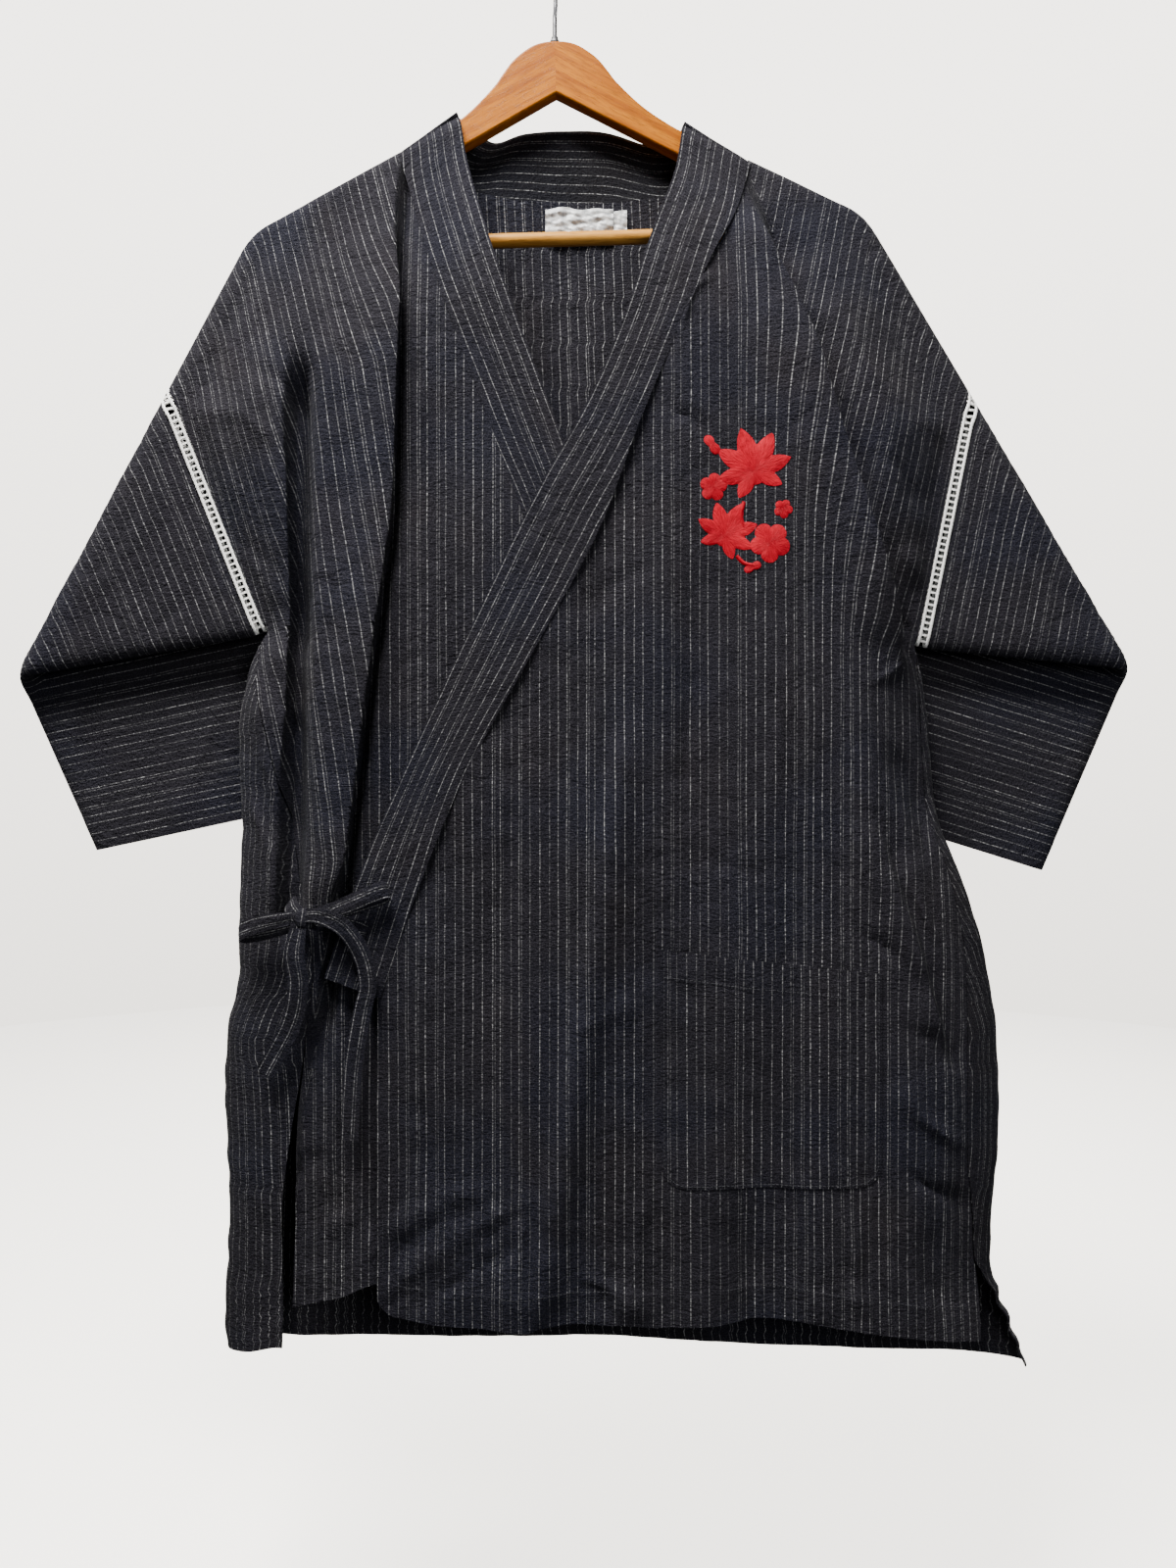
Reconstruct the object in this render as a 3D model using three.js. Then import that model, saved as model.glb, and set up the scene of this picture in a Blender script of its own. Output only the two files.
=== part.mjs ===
// A short wrap-front cotton jacket (a jinbei top) on a wooden clothes hanger.
// Millimetres. X runs to the viewer's right, Y away from the viewer and Z up.
// The origin is the top of the hook's inside, where a rail or a nail carries the hanger.
// Left and right in the node names are the wearer's, so sleeve_right is on the viewer's left.
import * as THREE from 'three';

// ---- driving sizes ----------------------------------------------------------------------------
const CLOTH = 1.2; // wall of one layer of cotton
const BAND = 2.0; // wall of the doubled collar band and of the ties
const SEAM = 0.3; // gap between pieces that are sewn edge to edge
const LACE_GAP = 0.95; // from the lace to the hemmed edges that it joins
const ON_TOP = 2.2; // from a panel's middle to the middle of a band that lies on it
const LAYER = 5; // half the distance between the two layers of an empty sleeve
const FOLD_RADIUS = 10; // radius of the fold where a sleeve turns behind the jacket
const FRONT_DEPTH = 26; // how far the fronts stand before the hanger's middle plane
const BACK_DEPTH = 11; // how far the back stands behind it
const ON_HANGER = 7.5; // half depth of the cloth where it lies on the hanger
const SIDE_ROUNDING = 60; // width over which the body rounds away to its side
const HANGER_ROUNDING = 24; // width over which the cloth thins out past the hanger's end
const TOP_ROUNDING = 9; // height over which the cloth rounds over the hanger
const OVERLAP = 6; // from the under front to the over front
const ARMHOLE = 256; // half the armhole's length
const SLEEVE_LENGTH = 313;
const LACE_WIDTH = 8;
const HANGER_THICKNESS = 11;
const BAR_RADIUS = 5;
const WIRE_RADIUS = 1.6;
const HOOK_RADIUS = 19;
const HANGER_TILT = 0.028; // radians; the viewer's left end hangs lower

const COLOURS = {
  cotton: { color: '#22242b', roughness: 0.9, metalness: 0 },
  lace: { color: '#e8e4da', roughness: 0.9, metalness: 0 },
  label: { color: '#efeeea', roughness: 0.5, metalness: 0 },
  wood: { color: '#b98247', roughness: 0.45, metalness: 0 },
  dowel: { color: '#d9ad72', roughness: 0.5, metalness: 0 },
  steel: { color: '#b8b8ba', roughness: 0.3, metalness: 1 },
};

// Each side's sleeve: sign of X, where the cloth leaves the hanger's end, how far the fold leans out
// from the vertical, the armpit, how far the armhole leans, and how the sleeve narrows to its cuff.
const SIDES = {
  right: { sign: -1, tipX: -207, tipZ: -204, foldLean: 28.1, pitX: -210, pitZ: -483, lean: 21.7,
    cuffTop: -12, cuffBottom: 191 },
  left: { sign: 1, tipX: 210, tipZ: -188, foldLean: 30.6, pitX: 262, pitZ: -493, lean: 11.4,
    cuffTop: 10, cuffBottom: 225 },
};

// The shoulder line from cuff side to cuff side, as it lies on the hanger and past its ends.
const SHOULDER = [
  { x: -305, z: -245 },
  { x: -218, z: -199 },
  { x: -110, z: -140 },
  { x: 0, z: -80 },
  { x: 139, z: -146 },
  { x: 220, z: -184 },
  { x: 312, z: -242 },
];

// The back panel's top edge: the shoulder seam, and the neck's scoop between x = -110 and x = 139.
const BACK_TOP = [
  { x: -305, z: -245 },
  { x: -218, z: -199 },
  { x: -110, z: -140 },
  { x: -98, z: -152 },
  { x: -72, z: -161 },
  { x: -30, z: -169 },
  { x: 40, z: -170 },
  { x: 76, z: -167 },
  { x: 112, z: -159 },
  { x: 139, z: -146 },
  { x: 220, z: -184 },
  { x: 312, z: -242 },
];

// The body below the armpits, seen from the front: its outline, and the side edges of the back and
// of the fronts. They meet in the side seams and part below them, at the side slits.
const BODY = [
  { z: -480, outR: -203.4, backR: -203, frontR: -203, outL: 257, backL: 256.6, frontL: 256.6 },
  { z: -493, outR: -211, backR: -209, frontR: -209, outL: 257.4, backL: 257, frontL: 257 },
  { z: -515, outR: -219, backR: -210, frontR: -210, outL: 262, backL: 259, frontL: 259 },
  { z: -540, outR: -222, backR: -204, frontR: -204, outL: 264, backL: 259, frontL: 259 },
  { z: -600, outR: -223, backR: -190, frontR: -190, outL: 270, backL: 262, frontL: 262 },
  { z: -670, outR: -224, backR: -177, frontR: -177, outL: 294, backL: 281, frontL: 281 },
  { z: -720, outR: -225, backR: -166, frontR: -166, outL: 308, backL: 288, frontL: 288 },
  { z: -770, outR: -235, backR: -172, frontR: -172, outL: 316, backL: 288, frontL: 288 },
  { z: -840, outR: -233, backR: -185, frontR: -185, outL: 316, backL: 287, frontL: 287 },
  { z: -900, outR: -233, backR: -191, frontR: -190, outL: 314, backL: 294, frontL: 293 },
  { z: -950, outR: -234, backR: -191, frontR: -184, outL: 318, backL: 306, frontL: 299 },
  { z: -1005, outR: -234, backR: -191, frontR: -183, outL: 337, backL: 333, frontL: 297 },
];

const HEMS = {
  back: [
    { x: -240, z: -997 },
    { x: -132, z: -987 },
    { x: -14, z: -987 },
    { x: 113, z: -992 },
    { x: 340, z: -1003 },
  ],
  over: [
    { x: -122, z: -956 },
    { x: -109, z: -962 },
    { x: -46, z: -972 },
    { x: 98, z: -968 },
    { x: 182, z: -967 },
    { x: 253, z: -977 },
    { x: 300, z: -982 },
  ],
  under: [
    { x: -190, z: -959 },
    { x: -130, z: -945 },
    { x: 60, z: -948 },
    { x: 122, z: -955 },
  ],
};

// Each front's inner edge, at the seam of the collar band and straight down below the band's end.
const INNER_EDGE = {
  over: [
    { z: -140, x: 139 },
    { z: -161, x: 135 },
    { z: -195, x: 124 },
    { z: -263, x: 92 },
    { z: -337, x: 60 },
    { z: -427, x: 26 },
    { z: -486, x: -7 },
    { z: -579, x: -58 },
    { z: -658, x: -92 },
    { z: -734, x: -121 },
    { z: -841, x: -121 },
    { z: -960, x: -121 },
  ],
  under: [
    { z: -135, x: -111 },
    { z: -151, x: -107 },
    { z: -226, x: -86 },
    { z: -295, x: -60 },
    { z: -403, x: -22 },
    { z: -486, x: 9 },
    { z: -579, x: 60 },
    { z: -658, x: 94 },
    { z: -734, x: 121 },
    { z: -841, x: 121 },
    { z: -960, x: 121 },
  ],
};

// The collar band runs from the under front's end up over the shoulder, round the back of the neck
// and down to the over front's end. Columns: its free edge and its sewn edge. Rows with a layer lie
// on that front; the others say how deep the band lies.
const COLLAR = [
  { layer: 'under', freeX: 155, freeZ: -722, seamX: 116, seamZ: -738 },
  { layer: 'under', freeX: 134, freeZ: -658, seamX: 90, seamZ: -660 },
  { layer: 'under', freeX: 106, freeZ: -588, seamX: 58, seamZ: -581 },
  { layer: 'under', freeX: 60, freeZ: -488, seamX: 12, seamZ: -502 },
  { layer: 'under', freeX: 30, freeZ: -420, seamX: -20, seamZ: -409 },
  { layer: 'under', freeX: 4, freeZ: -347, seamX: -43, seamZ: -345 },
  { layer: 'under', freeX: -30, freeZ: -255, seamX: -74, seamZ: -260 },
  { layer: 'under', freeX: -48, freeZ: -200, seamX: -90, seamZ: -214 },
  { layer: 'under', freeX: -61, freeZ: -153, seamX: -102, seamZ: -172 },
  { layer: 'under', freeX: -66, freeZ: -124, seamX: -109, seamZ: -149 },
  { freeX: -69, freeY: -7, freeZ: -114, seamX: -111, seamY: -8.5, seamZ: -141 },
  { freeX: -70, freeY: 0, freeZ: -111, seamX: -111, seamY: 0, seamZ: -136.5 },
  { freeX: -67, freeY: 7, freeZ: -112, seamX: -108, seamY: 9.6, seamZ: -143 },
  { freeX: -60, freeY: 12, freeZ: -116, seamX: -97, seamY: 11, seamZ: -153 },
  { freeX: -44, freeY: 15, freeZ: -124, seamX: -74, seamY: 12.2, seamZ: -161 },
  { freeX: -22, freeY: 16, freeZ: -117, seamX: -44, seamY: 12.6, seamZ: -169 },
  { freeX: 6, freeY: 16, freeZ: -115, seamX: -2, seamY: 12.9, seamZ: -172 },
  { freeX: 36, freeY: 16, freeZ: -116, seamX: 40, seamY: 12.9, seamZ: -172 },
  { freeX: 64, freeY: 15, freeZ: -125, seamX: 76, seamY: 12.6, seamZ: -169 },
  { freeX: 82, freeY: 12, freeZ: -128, seamX: 112, seamY: 11.4, seamZ: -161 },
  { freeX: 90, freeY: 7, freeZ: -121, seamX: 132, seamY: 9.8, seamZ: -150 },
  { freeX: 92, freeY: 0, freeZ: -117, seamX: 140, seamY: 0, seamZ: -142 },
  { freeX: 92, freeY: -7, freeZ: -121, seamX: 140, seamY: -8.5, seamZ: -147 },
  { layer: 'over', freeX: 90, freeZ: -130, seamX: 137, seamZ: -158 },
  { layer: 'over', freeX: 84, freeZ: -163, seamX: 127, seamZ: -190 },
  { layer: 'over', freeX: 68, freeZ: -209, seamX: 109, seamZ: -226 },
  { layer: 'over', freeX: 48, freeZ: -271, seamX: 87, seamZ: -276 },
  { layer: 'over', freeX: 22, freeZ: -331, seamX: 60, seamZ: -340 },
  { layer: 'over', freeX: -14, freeZ: -395, seamX: 31, seamZ: -417 },
  { layer: 'over', freeX: -58, freeZ: -486, seamX: -9, seamZ: -491 },
  { layer: 'over', freeX: -106, freeZ: -590, seamX: -58, seamZ: -580 },
  { layer: 'over', freeX: -134, freeZ: -656, seamX: -91, seamZ: -658 },
  { layer: 'over', freeX: -157, freeZ: -724, seamX: -119, seamZ: -738 },
];

// The largest folds of the fronts, a row for each. The crest's line runs from its top to its foot;
// toRight and toLeft are the widths over which the fold falls away on the viewer's sides.
const FOLDS = [
  { on: 'under', height: 8, toLeft: 50, toRight: 6, topZ: -170, topX: -111, midZ: -400, midX: -120,
    footZ: -690, footX: -158 },
  { on: 'under', height: -4, toLeft: 16, toRight: 22, topZ: -250, topX: -176, midZ: -450, midX: -178,
    footZ: -670, footX: -184 },
  { on: 'over', height: 5, toLeft: 60, toRight: 16, topZ: -200, topX: 142, midZ: -350, midX: 192,
    footZ: -520, footX: 252 },
  { on: 'over', height: 4, toLeft: 40, toRight: 18, topZ: -620, topX: 236, midZ: -690, midX: 252,
    footZ: -760, footX: 272 },
  { on: 'over', height: 3, toLeft: 22, toRight: 34, topZ: -560, topX: 52, midZ: -780, midX: 18,
    footZ: -975, footX: -14 },
];

const POCKET = { topZ: -705, topFall: 0.11, bottomZ: -869, leftX: 74, rightX: 226, corner: 10 };
const NECK_LABEL = { fromX: -7, toX: 42, topZ: -175, bottomZ: -206 };
const SIZE_LABEL = { fromX: 42.4, toX: 52, topZ: -177, bottomZ: -192 };

// The tie, bowed at the side. Each strap lies with its broad face to the viewer; run is the
// direction that it runs in, in degrees from the viewer's right, turning up.
const STRAPS = {
  tie_front_root: { width: 12, rows: [
    { x: -128, y: -36.2, z: -692, run: 165 },
    { x: -148, y: -36.4, z: -687, run: 168 },
    { x: -167, y: -36.5, z: -684, run: 172 },
  ] },
  tie_side_root: { width: 12, rows: [
    { x: -182, y: -28.5, z: -672, run: -40 },
    { x: -180, y: -32.5, z: -676, run: -40 },
    { x: -174.5, y: -37, z: -681, run: -40 },
  ] },
  tie_loop_left: { width: 12, rows: [
    { x: -162.6, y: -44.2, z: -682, run: 20 },
    { x: -138, y: -46, z: -672, run: 20 },
    { x: -119, y: -45, z: -664, run: 20 },
    { x: -112, y: -42.5, z: -663, run: 15 },
    { x: -116, y: -40.2, z: -667, run: 12 },
    { x: -138, y: -40.6, z: -674, run: 14 },
    { x: -160.6, y: -40.6, z: -681, run: 20 },
  ] },
  tie_loop_right: { width: 13, rows: [
    { x: -177.8, y: -43, z: -682, run: 165 },
    { x: -198, y: -43.5, z: -686, run: 172 },
    { x: -210, y: -42, z: -690, run: 175 },
    { x: -213, y: -40, z: -692, run: 178 },
    { x: -209, y: -38.4, z: -693, run: 178 },
    { x: -196, y: -39, z: -691, run: 172 },
    { x: -179, y: -39.8, z: -687, run: 165 },
  ] },
  tie_tail_left: { width: 12, rows: [
    { x: -167, y: -45.4, z: -680, run: -5 },
    { x: -156, y: -47.6, z: -680, run: -12 },
    { x: -141, y: -46.8, z: -688, run: -42 },
    { x: -130, y: -43, z: -706, run: -65 },
    { x: -126, y: -40.5, z: -727, run: -88 },
    { x: -130, y: -39, z: -747, run: -100 },
    { x: -136, y: -38.4, z: -784, run: -98 },
    { x: -139, y: -38, z: -834, run: -92 },
  ] },
  tie_tail_right: { width: 14, rows: [
    { x: -172, y: -44.6, z: -689, run: -92 },
    { x: -175, y: -44.6, z: -707, run: -90 },
    { x: -173, y: -42, z: -728, run: -95 },
    { x: -179, y: -38, z: -755, run: -110 },
    { x: -198, y: -34, z: -790, run: -122 },
  ] },
};
const KNOT = { x: -169, y: -41, z: -683, halfX: 8, halfY: 3.6, halfZ: 7.5 };

// One wooden arm of the hanger, before the tilt, as distances out from the middle.
const ARM_TOP = [
  { out: 0, z: -62 },
  { out: 16, z: -65 },
  { out: 31, z: -76 },
  { out: 44, z: -93 },
  { out: 60, z: -109 },
  { out: 76, z: -121 },
  { out: 92, z: -130.5 },
  { out: 139, z: -155 },
  { out: 185, z: -179 },
];
const ARM_BOTTOM = [
  { out: 187, z: -190 },
  { out: 182, z: -207 },
  { out: 166, z: -209 },
  { out: 166, z: -189 },
  { out: 90, z: -147 },
  { out: 0, z: -99 },
];
const BAR_Z = -201;
const BAR_END = 166; // from the middle to the arms' inner faces, which hold the bar

// ---- small helpers ----------------------------------------------------------------------------
const point = (x, y, z) => new THREE.Vector3(x, y, z);
const lerp = (a, b, t) => a + (b - a) * t;
const clamp = (t) => Math.min(1, Math.max(0, t));
const smooth = (t) => clamp(t) ** 2 * (3 - 2 * clamp(t));
const roundOff = (t) => Math.sqrt(1 - (1 - clamp(t)) ** 2);
const radians = (degrees) => (degrees * Math.PI) / 180;

// The value of a table's column where another column, which rises or falls steadily, has the value at.
function lookUp(rows, key, at, column) {
  const rising = rows[1][key] > rows[0][key];
  const order = rising ? rows : [...rows].reverse();
  const last = order.length - 2;
  let i = 0;
  while (i < last && at > order[i + 1][key]) i += 1;
  const t = (at - order[i][key]) / (order[i + 1][key] - order[i][key]);
  return lerp(order[i][column], order[i + 1][column], clamp(t));
}

// A smooth course through evenly counted rows, for any of their columns.
function through(rows, t, column) {
  const i = Math.min(Math.floor(t * (rows.length - 1)), rows.length - 2);
  const f = t * (rows.length - 1) - i;
  const at = (k) => rows[Math.min(Math.max(k, 0), rows.length - 1)][column];
  const [a, b, c, d] = [at(i - 1), at(i), at(i + 1), at(i + 2)];
  return b + 0.5 * f * (c - a + f * (2 * a - 5 * b + 4 * c - d + f * (3 * (b - c) + d - a)));
}

// A wall of even thickness whose middle surface goes through a grid of points.
function wall(rows, thickness) {
  const high = rows.length;
  const wide = rows[0].length;
  const positions = [];
  for (const side of [0.5, -0.5]) {
    for (let i = 0; i < high; i += 1) {
      for (let j = 0; j < wide; j += 1) {
        const along = rows[Math.min(i + 1, high - 1)][j].clone().sub(rows[Math.max(i - 1, 0)][j]);
        const across = rows[i][Math.min(j + 1, wide - 1)].clone().sub(rows[i][Math.max(j - 1, 0)]);
        const normal = along.cross(across).normalize();
        positions.push(...rows[i][j].clone().addScaledVector(normal, side * thickness).toArray());
      }
    }
  }
  const outer = (i, j) => i * wide + j;
  const inner = (i, j) => high * wide + i * wide + j;
  const faces = [];
  const quad = (a, b, c, d) => faces.push(a, b, c, a, c, d);
  for (let i = 0; i < high - 1; i += 1) {
    for (let j = 0; j < wide - 1; j += 1) {
      quad(outer(i, j), outer(i + 1, j), outer(i + 1, j + 1), outer(i, j + 1));
      quad(inner(i, j), inner(i, j + 1), inner(i + 1, j + 1), inner(i + 1, j));
    }
    quad(outer(i, 0), inner(i, 0), inner(i + 1, 0), outer(i + 1, 0));
    quad(outer(i + 1, wide - 1), inner(i + 1, wide - 1), inner(i, wide - 1), outer(i, wide - 1));
  }
  for (let j = 0; j < wide - 1; j += 1) {
    quad(outer(0, j + 1), inner(0, j + 1), inner(0, j), outer(0, j));
    quad(outer(high - 1, j), inner(high - 1, j), inner(high - 1, j + 1), outer(high - 1, j + 1));
  }
  const geometry = new THREE.BufferGeometry();
  geometry.setAttribute('position', new THREE.Float32BufferAttribute(positions, 3));
  geometry.setIndex(faces);
  return geometry;
}

// The same course with a set number of points, closer together where it turns.
const TURN_WEIGHT = 30; // millimetres of course that one radian of turning counts for
function spread(course, count) {
  const reach = [0];
  for (let i = 1; i < course.length; i += 1) {
    const step = course[i].clone().sub(course[i - 1]);
    const next = course[Math.min(i + 1, course.length - 1)].clone().sub(course[i]);
    const turn = step.length() > 0 && next.length() > 0 ? step.angleTo(next) : 0;
    reach.push(reach[i - 1] + step.length() + TURN_WEIGHT * turn);
  }
  const total = reach[reach.length - 1];
  const found = [];
  let i = 1;
  for (let k = 0; k < count; k += 1) {
    const goal = (total * k) / (count - 1);
    while (i < course.length - 1 && reach[i] < goal) i += 1;
    const t = clamp((goal - reach[i - 1]) / (reach[i] - reach[i - 1]));
    found.push(course[i - 1].clone().lerp(course[i], t));
  }
  return found;
}

// ---- the shape of the hung cloth --------------------------------------------------------------
const shoulderZ = (x) => lookUp(SHOULDER, 'x', x, 'z');
const armpitZ = (x) => lerp(SIDES.right.pitZ, SIDES.left.pitZ,
  (x - SIDES.right.pitX) / (SIDES.left.pitX - SIDES.right.pitX));

// How far a point lies past a sleeve's fold, measured square to the fold.
function pastFold(side, x, z) {
  const lean = radians(side.foldLean);
  return (x - side.tipX) * side.sign * Math.cos(lean) + (z - side.tipZ) * Math.sin(lean);
}

// Puts a point of the flat jacket, h behind its middle plane, where the fold brings it.
function foldBack(side, x, z, h) {
  const past = pastFold(side, x, z);
  if (past <= 0) return point(x, h, z);
  const lean = radians(side.foldLean);
  const turn = Math.min(past / FOLD_RADIUS, Math.PI);
  const beyond = Math.max(0, past - Math.PI * FOLD_RADIUS);
  const out = (FOLD_RADIUS - h) * Math.sin(turn) - beyond - past;
  const y = FOLD_RADIUS - (FOLD_RADIUS - h) * Math.cos(turn);
  return point(x + out * side.sign * Math.cos(lean), y, z + out * Math.sin(lean));
}

// How far a point lies inside the line of an armhole.
function insideArmhole(side, x, z) {
  const lean = radians(side.lean);
  return -((x - side.pitX) * side.sign * Math.cos(lean) - (z - side.pitZ) * Math.sin(lean));
}

// X on the armhole's line, some way inside it.
function armholeX(side, z, inside) {
  const lean = radians(side.lean);
  return side.pitX + side.sign * ((z - side.pitZ) * Math.tan(lean) - inside / Math.cos(lean));
}

// Half the depth of the body at a place in the front view, for the fronts or for the back.
function halfDepth(x, z, depth) {
  const side = x < 25 ? SIDES.right : SIDES.left;
  const outline = x < 25 ? 'outR' : 'outL';
  const above = z - armpitZ(x);
  const below = side.sign * (lookUp(BODY, 'z', Math.min(z, -480), outline) - x);
  const beside = Math.max(0, Math.min(-pastFold(side, x, z), insideArmhole(side, x, z)));
  const mix = smooth(0.5 - above / 40);
  const edge = above > 0 ? LAYER * roundOff(above / 12) : 0;
  const down = shoulderZ(x) - z;
  const hung = lerp(ON_HANGER, depth, smooth(down / 150) * smooth(beside / SIDE_ROUNDING));
  const atShoulder = lerp(edge, hung, smooth(beside / HANGER_ROUNDING));
  const atSide = lerp(edge, depth, roundOff(below / SIDE_ROUNDING));
  return lerp(atShoulder, atSide, mix) * roundOff(down / TOP_ROUNDING);
}

function foldHeight(fold, x, z) {
  const upper = z > fold.midZ;
  const t = upper ? (fold.topZ - z) / (fold.topZ - fold.midZ) : (fold.midZ - z) / (fold.midZ - fold.footZ);
  const crest = upper ? lerp(fold.topX, fold.midX, t) : lerp(fold.midX, fold.footX, t);
  const fade = smooth((fold.topZ - z) / 90) * smooth((z - fold.footZ) / 50);
  const away = x - crest;
  const width = away < 0 ? fold.toLeft : fold.toRight;
  return fold.height * fade * (1 - smooth(Math.abs(away) / width));
}

// Y of a front's middle surface.
function frontY(layer, x, z) {
  const down = shoulderZ(x) - z;
  const toSide = lookUp(BODY, 'z', Math.min(z, -480), 'outL') - x;
  const lift = layer === 'over' ? OVERLAP * smooth(toSide / 80) * smooth((down - 6) / 70) : 0;
  let folds = 0;
  for (const fold of FOLDS) if (fold.on === layer) folds += foldHeight(fold, x, z);
  const depth = halfDepth(x, z, FRONT_DEPTH);
  return -depth - lift - folds * smooth((depth - LAYER) / 10);
}
const backY = (x, z) => halfDepth(x, z, BACK_DEPTH);

// ---- the body's panels ------------------------------------------------------------------------
// Rows from the top edge down to the level of the armpits, on to the side slits, and to the hem.
const UPPER_ROWS = [0.001, 0.004, 0.012, 0.032, 0.09, 0.18, 0.29, 0.41, 0.54, 0.67, 0.8, 0.92, 1];
const LOWER_ROWS = [0.06, 0.16, 0.28, 0.41, 0.53, 0.64, 0.8, 0.93];
const HEM_ROWS = [0, 0.5, 1];
const SLIT_TOP = -908; // the side seams end here
const STEP = 3; // millimetres between the points that a row is worked out from

function levels(top, hem) {
  const upper = UPPER_ROWS.map((f) => (x) => lerp(top(x), armpitZ(x), f));
  const lower = LOWER_ROWS.map((f) => (x) => lerp(armpitZ(x), SLIT_TOP, f));
  const below = HEM_ROWS.map((f) => (x) => lerp(SLIT_TOP, hem(x), f));
  return [...upper, ...lower, ...below];
}

// Where a level meets an edge that is given as X for each Z.
function meet(level, edge, from) {
  let x = from;
  for (let i = 0; i < 12; i += 1) x = edge(level(x));
  return x;
}

// Points along a level on one surface, with more of them near the rounded sides.
function alongLevel(level, fromX, toX, place) {
  const steps = Math.max(2, Math.ceil(Math.abs(toX - fromX) / STEP));
  const found = [];
  for (let i = 0; i <= steps; i += 1) {
    const x = lerp(fromX, toX, (1 - Math.cos((Math.PI * i) / steps)) / 2);
    found.push(place(x, level(x)));
  }
  return found;
}

const ARM_EDGE = LACE_WIDTH / 2 + LACE_GAP; // from the armhole's line to the cloth beside the lace
const onFront = (layer) => (x, z) => foldBack(x < 25 ? SIDES.right : SIDES.left, x, z, frontY(layer, x, z));
const onBack = (x, z) => foldBack(x < 25 ? SIDES.right : SIDES.left, x, z, backY(x, z));

function frontPanel(layer, count) {
  const side = layer === 'over' ? SIDES.left : SIDES.right;
  const seamColumn = layer === 'over' ? 'frontL' : 'frontR';
  const hem = (x) => lookUp(HEMS[layer], 'x', x, 'z');
  const rows = levels(shoulderZ, hem).map((level, i) => {
    const inner = meet(level, (z) => lookUp(INNER_EDGE[layer], 'z', z, 'x'), side.sign * 60);
    const sideEdge = (z) => lookUp(BODY, 'z', z, seamColumn) - side.sign * 2 * SEAM;
    const outerEdge = i < UPPER_ROWS.length - 1 ? (z) => armholeX(side, z, ARM_EDGE) : sideEdge;
    const outer = meet(level, outerEdge, side.pitX);
    return spread(alongLevel(level, inner, outer, onFront(layer)), count);
  });
  return wall(rows, CLOTH);
}

function backPanel(count) {
  const top = (x) => lookUp(BACK_TOP, 'x', x, 'z');
  const hem = (x) => lookUp(HEMS.back, 'x', x, 'z');
  const rows = levels(top, hem).map((level, i) => {
    if (i < UPPER_ROWS.length - 1) {
      const from = meet(level, (z) => armholeX(SIDES.right, z, ARM_EDGE), SIDES.right.pitX);
      const to = meet(level, (z) => armholeX(SIDES.left, z, ARM_EDGE), SIDES.left.pitX);
      return spread(alongLevel(level, from, to, onBack), count);
    }
    const edge = (column) => meet(level, (z) => lookUp(BODY, 'z', z, column), 0);
    const [outR, outL] = [edge('outR'), edge('outL')];
    const row = [
      ...alongLevel(level, edge('backR'), outR, onFront('under')),
      ...alongLevel(level, outR, outL, onBack),
      ...alongLevel(level, outL, edge('backL'), onFront('over')),
    ];
    return spread(row, count);
  });
  return wall(rows, CLOTH);
}

// ---- collar, pocket and labels ----------------------------------------------------------------
function collar(stations, columns) {
  const rows = [];
  for (let i = 0; i < stations; i += 1) {
    const t = i / (stations - 1);
    const at = t * (COLLAR.length - 1);
    const near = COLLAR[Math.min(Math.floor(at), COLLAR.length - 2)];
    const next = COLLAR[Math.min(Math.floor(at), COLLAR.length - 2) + 1];
    const row = [];
    for (let j = 0; j < columns; j += 1) {
      const f = j / (columns - 1);
      const x = lerp(through(COLLAR, t, 'freeX'), through(COLLAR, t, 'seamX'), f);
      const z = lerp(through(COLLAR, t, 'freeZ'), through(COLLAR, t, 'seamZ'), f);
      const depthOf = (station) => (station.layer
        ? frontY(station.layer, x, z) - ON_TOP
        : lerp(station.freeY, station.seamY, f));
      row.push(point(x, lerp(depthOf(near), depthOf(next), at - Math.floor(Math.min(at, COLLAR.length - 2))), z));
    }
    rows.push(row);
  }
  return wall(rows, BAND);
}

function pocket() {
  const rows = [];
  const height = POCKET.topZ - POCKET.bottomZ;
  for (const f of [0, 0.12, 0.3, 0.5, 0.7, 0.88, 0.95, 1]) {
    const rounding = POCKET.corner * (1 - roundOff(((1 - f) * height) / POCKET.corner));
    const row = [];
    for (let j = 0; j <= 7; j += 1) {
      const x = lerp(POCKET.leftX + rounding, POCKET.rightX - rounding, j / 7);
      const top = POCKET.topZ - (x - POCKET.leftX) * POCKET.topFall;
      const z = lerp(top, POCKET.bottomZ, f);
      row.push(point(x, frontY('over', x, z) - CLOTH - 2 * SEAM, z));
    }
    rows.push(row);
  }
  return wall(rows, CLOTH);
}

function label(size) {
  const rows = [];
  for (let i = 0; i <= 4; i += 1) {
    const z = lerp(size.topZ, size.bottomZ, i / 4);
    const row = [];
    for (let j = 0; j <= 4; j += 1) {
      const x = lerp(size.fromX, size.toX, j / 4);
      row.push(point(x, backY(x, z) - CLOTH - SEAM, z));
    }
    rows.push(row);
  }
  return wall(rows, 1);
}

// ---- sleeves and the lace between them and the body -------------------------------------------
// A place on the flat sleeve: along its axis from the armhole, down from its top edge, and behind.
function onSleeve(side, along, down, h) {
  const lean = radians(side.lean);
  const up = ARMHOLE - down;
  const x = side.pitX + side.sign * (up * Math.sin(lean) + along * Math.cos(lean));
  const z = side.pitZ + up * Math.cos(lean) - along * Math.sin(lean);
  return foldBack(side, x, z, h);
}

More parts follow.
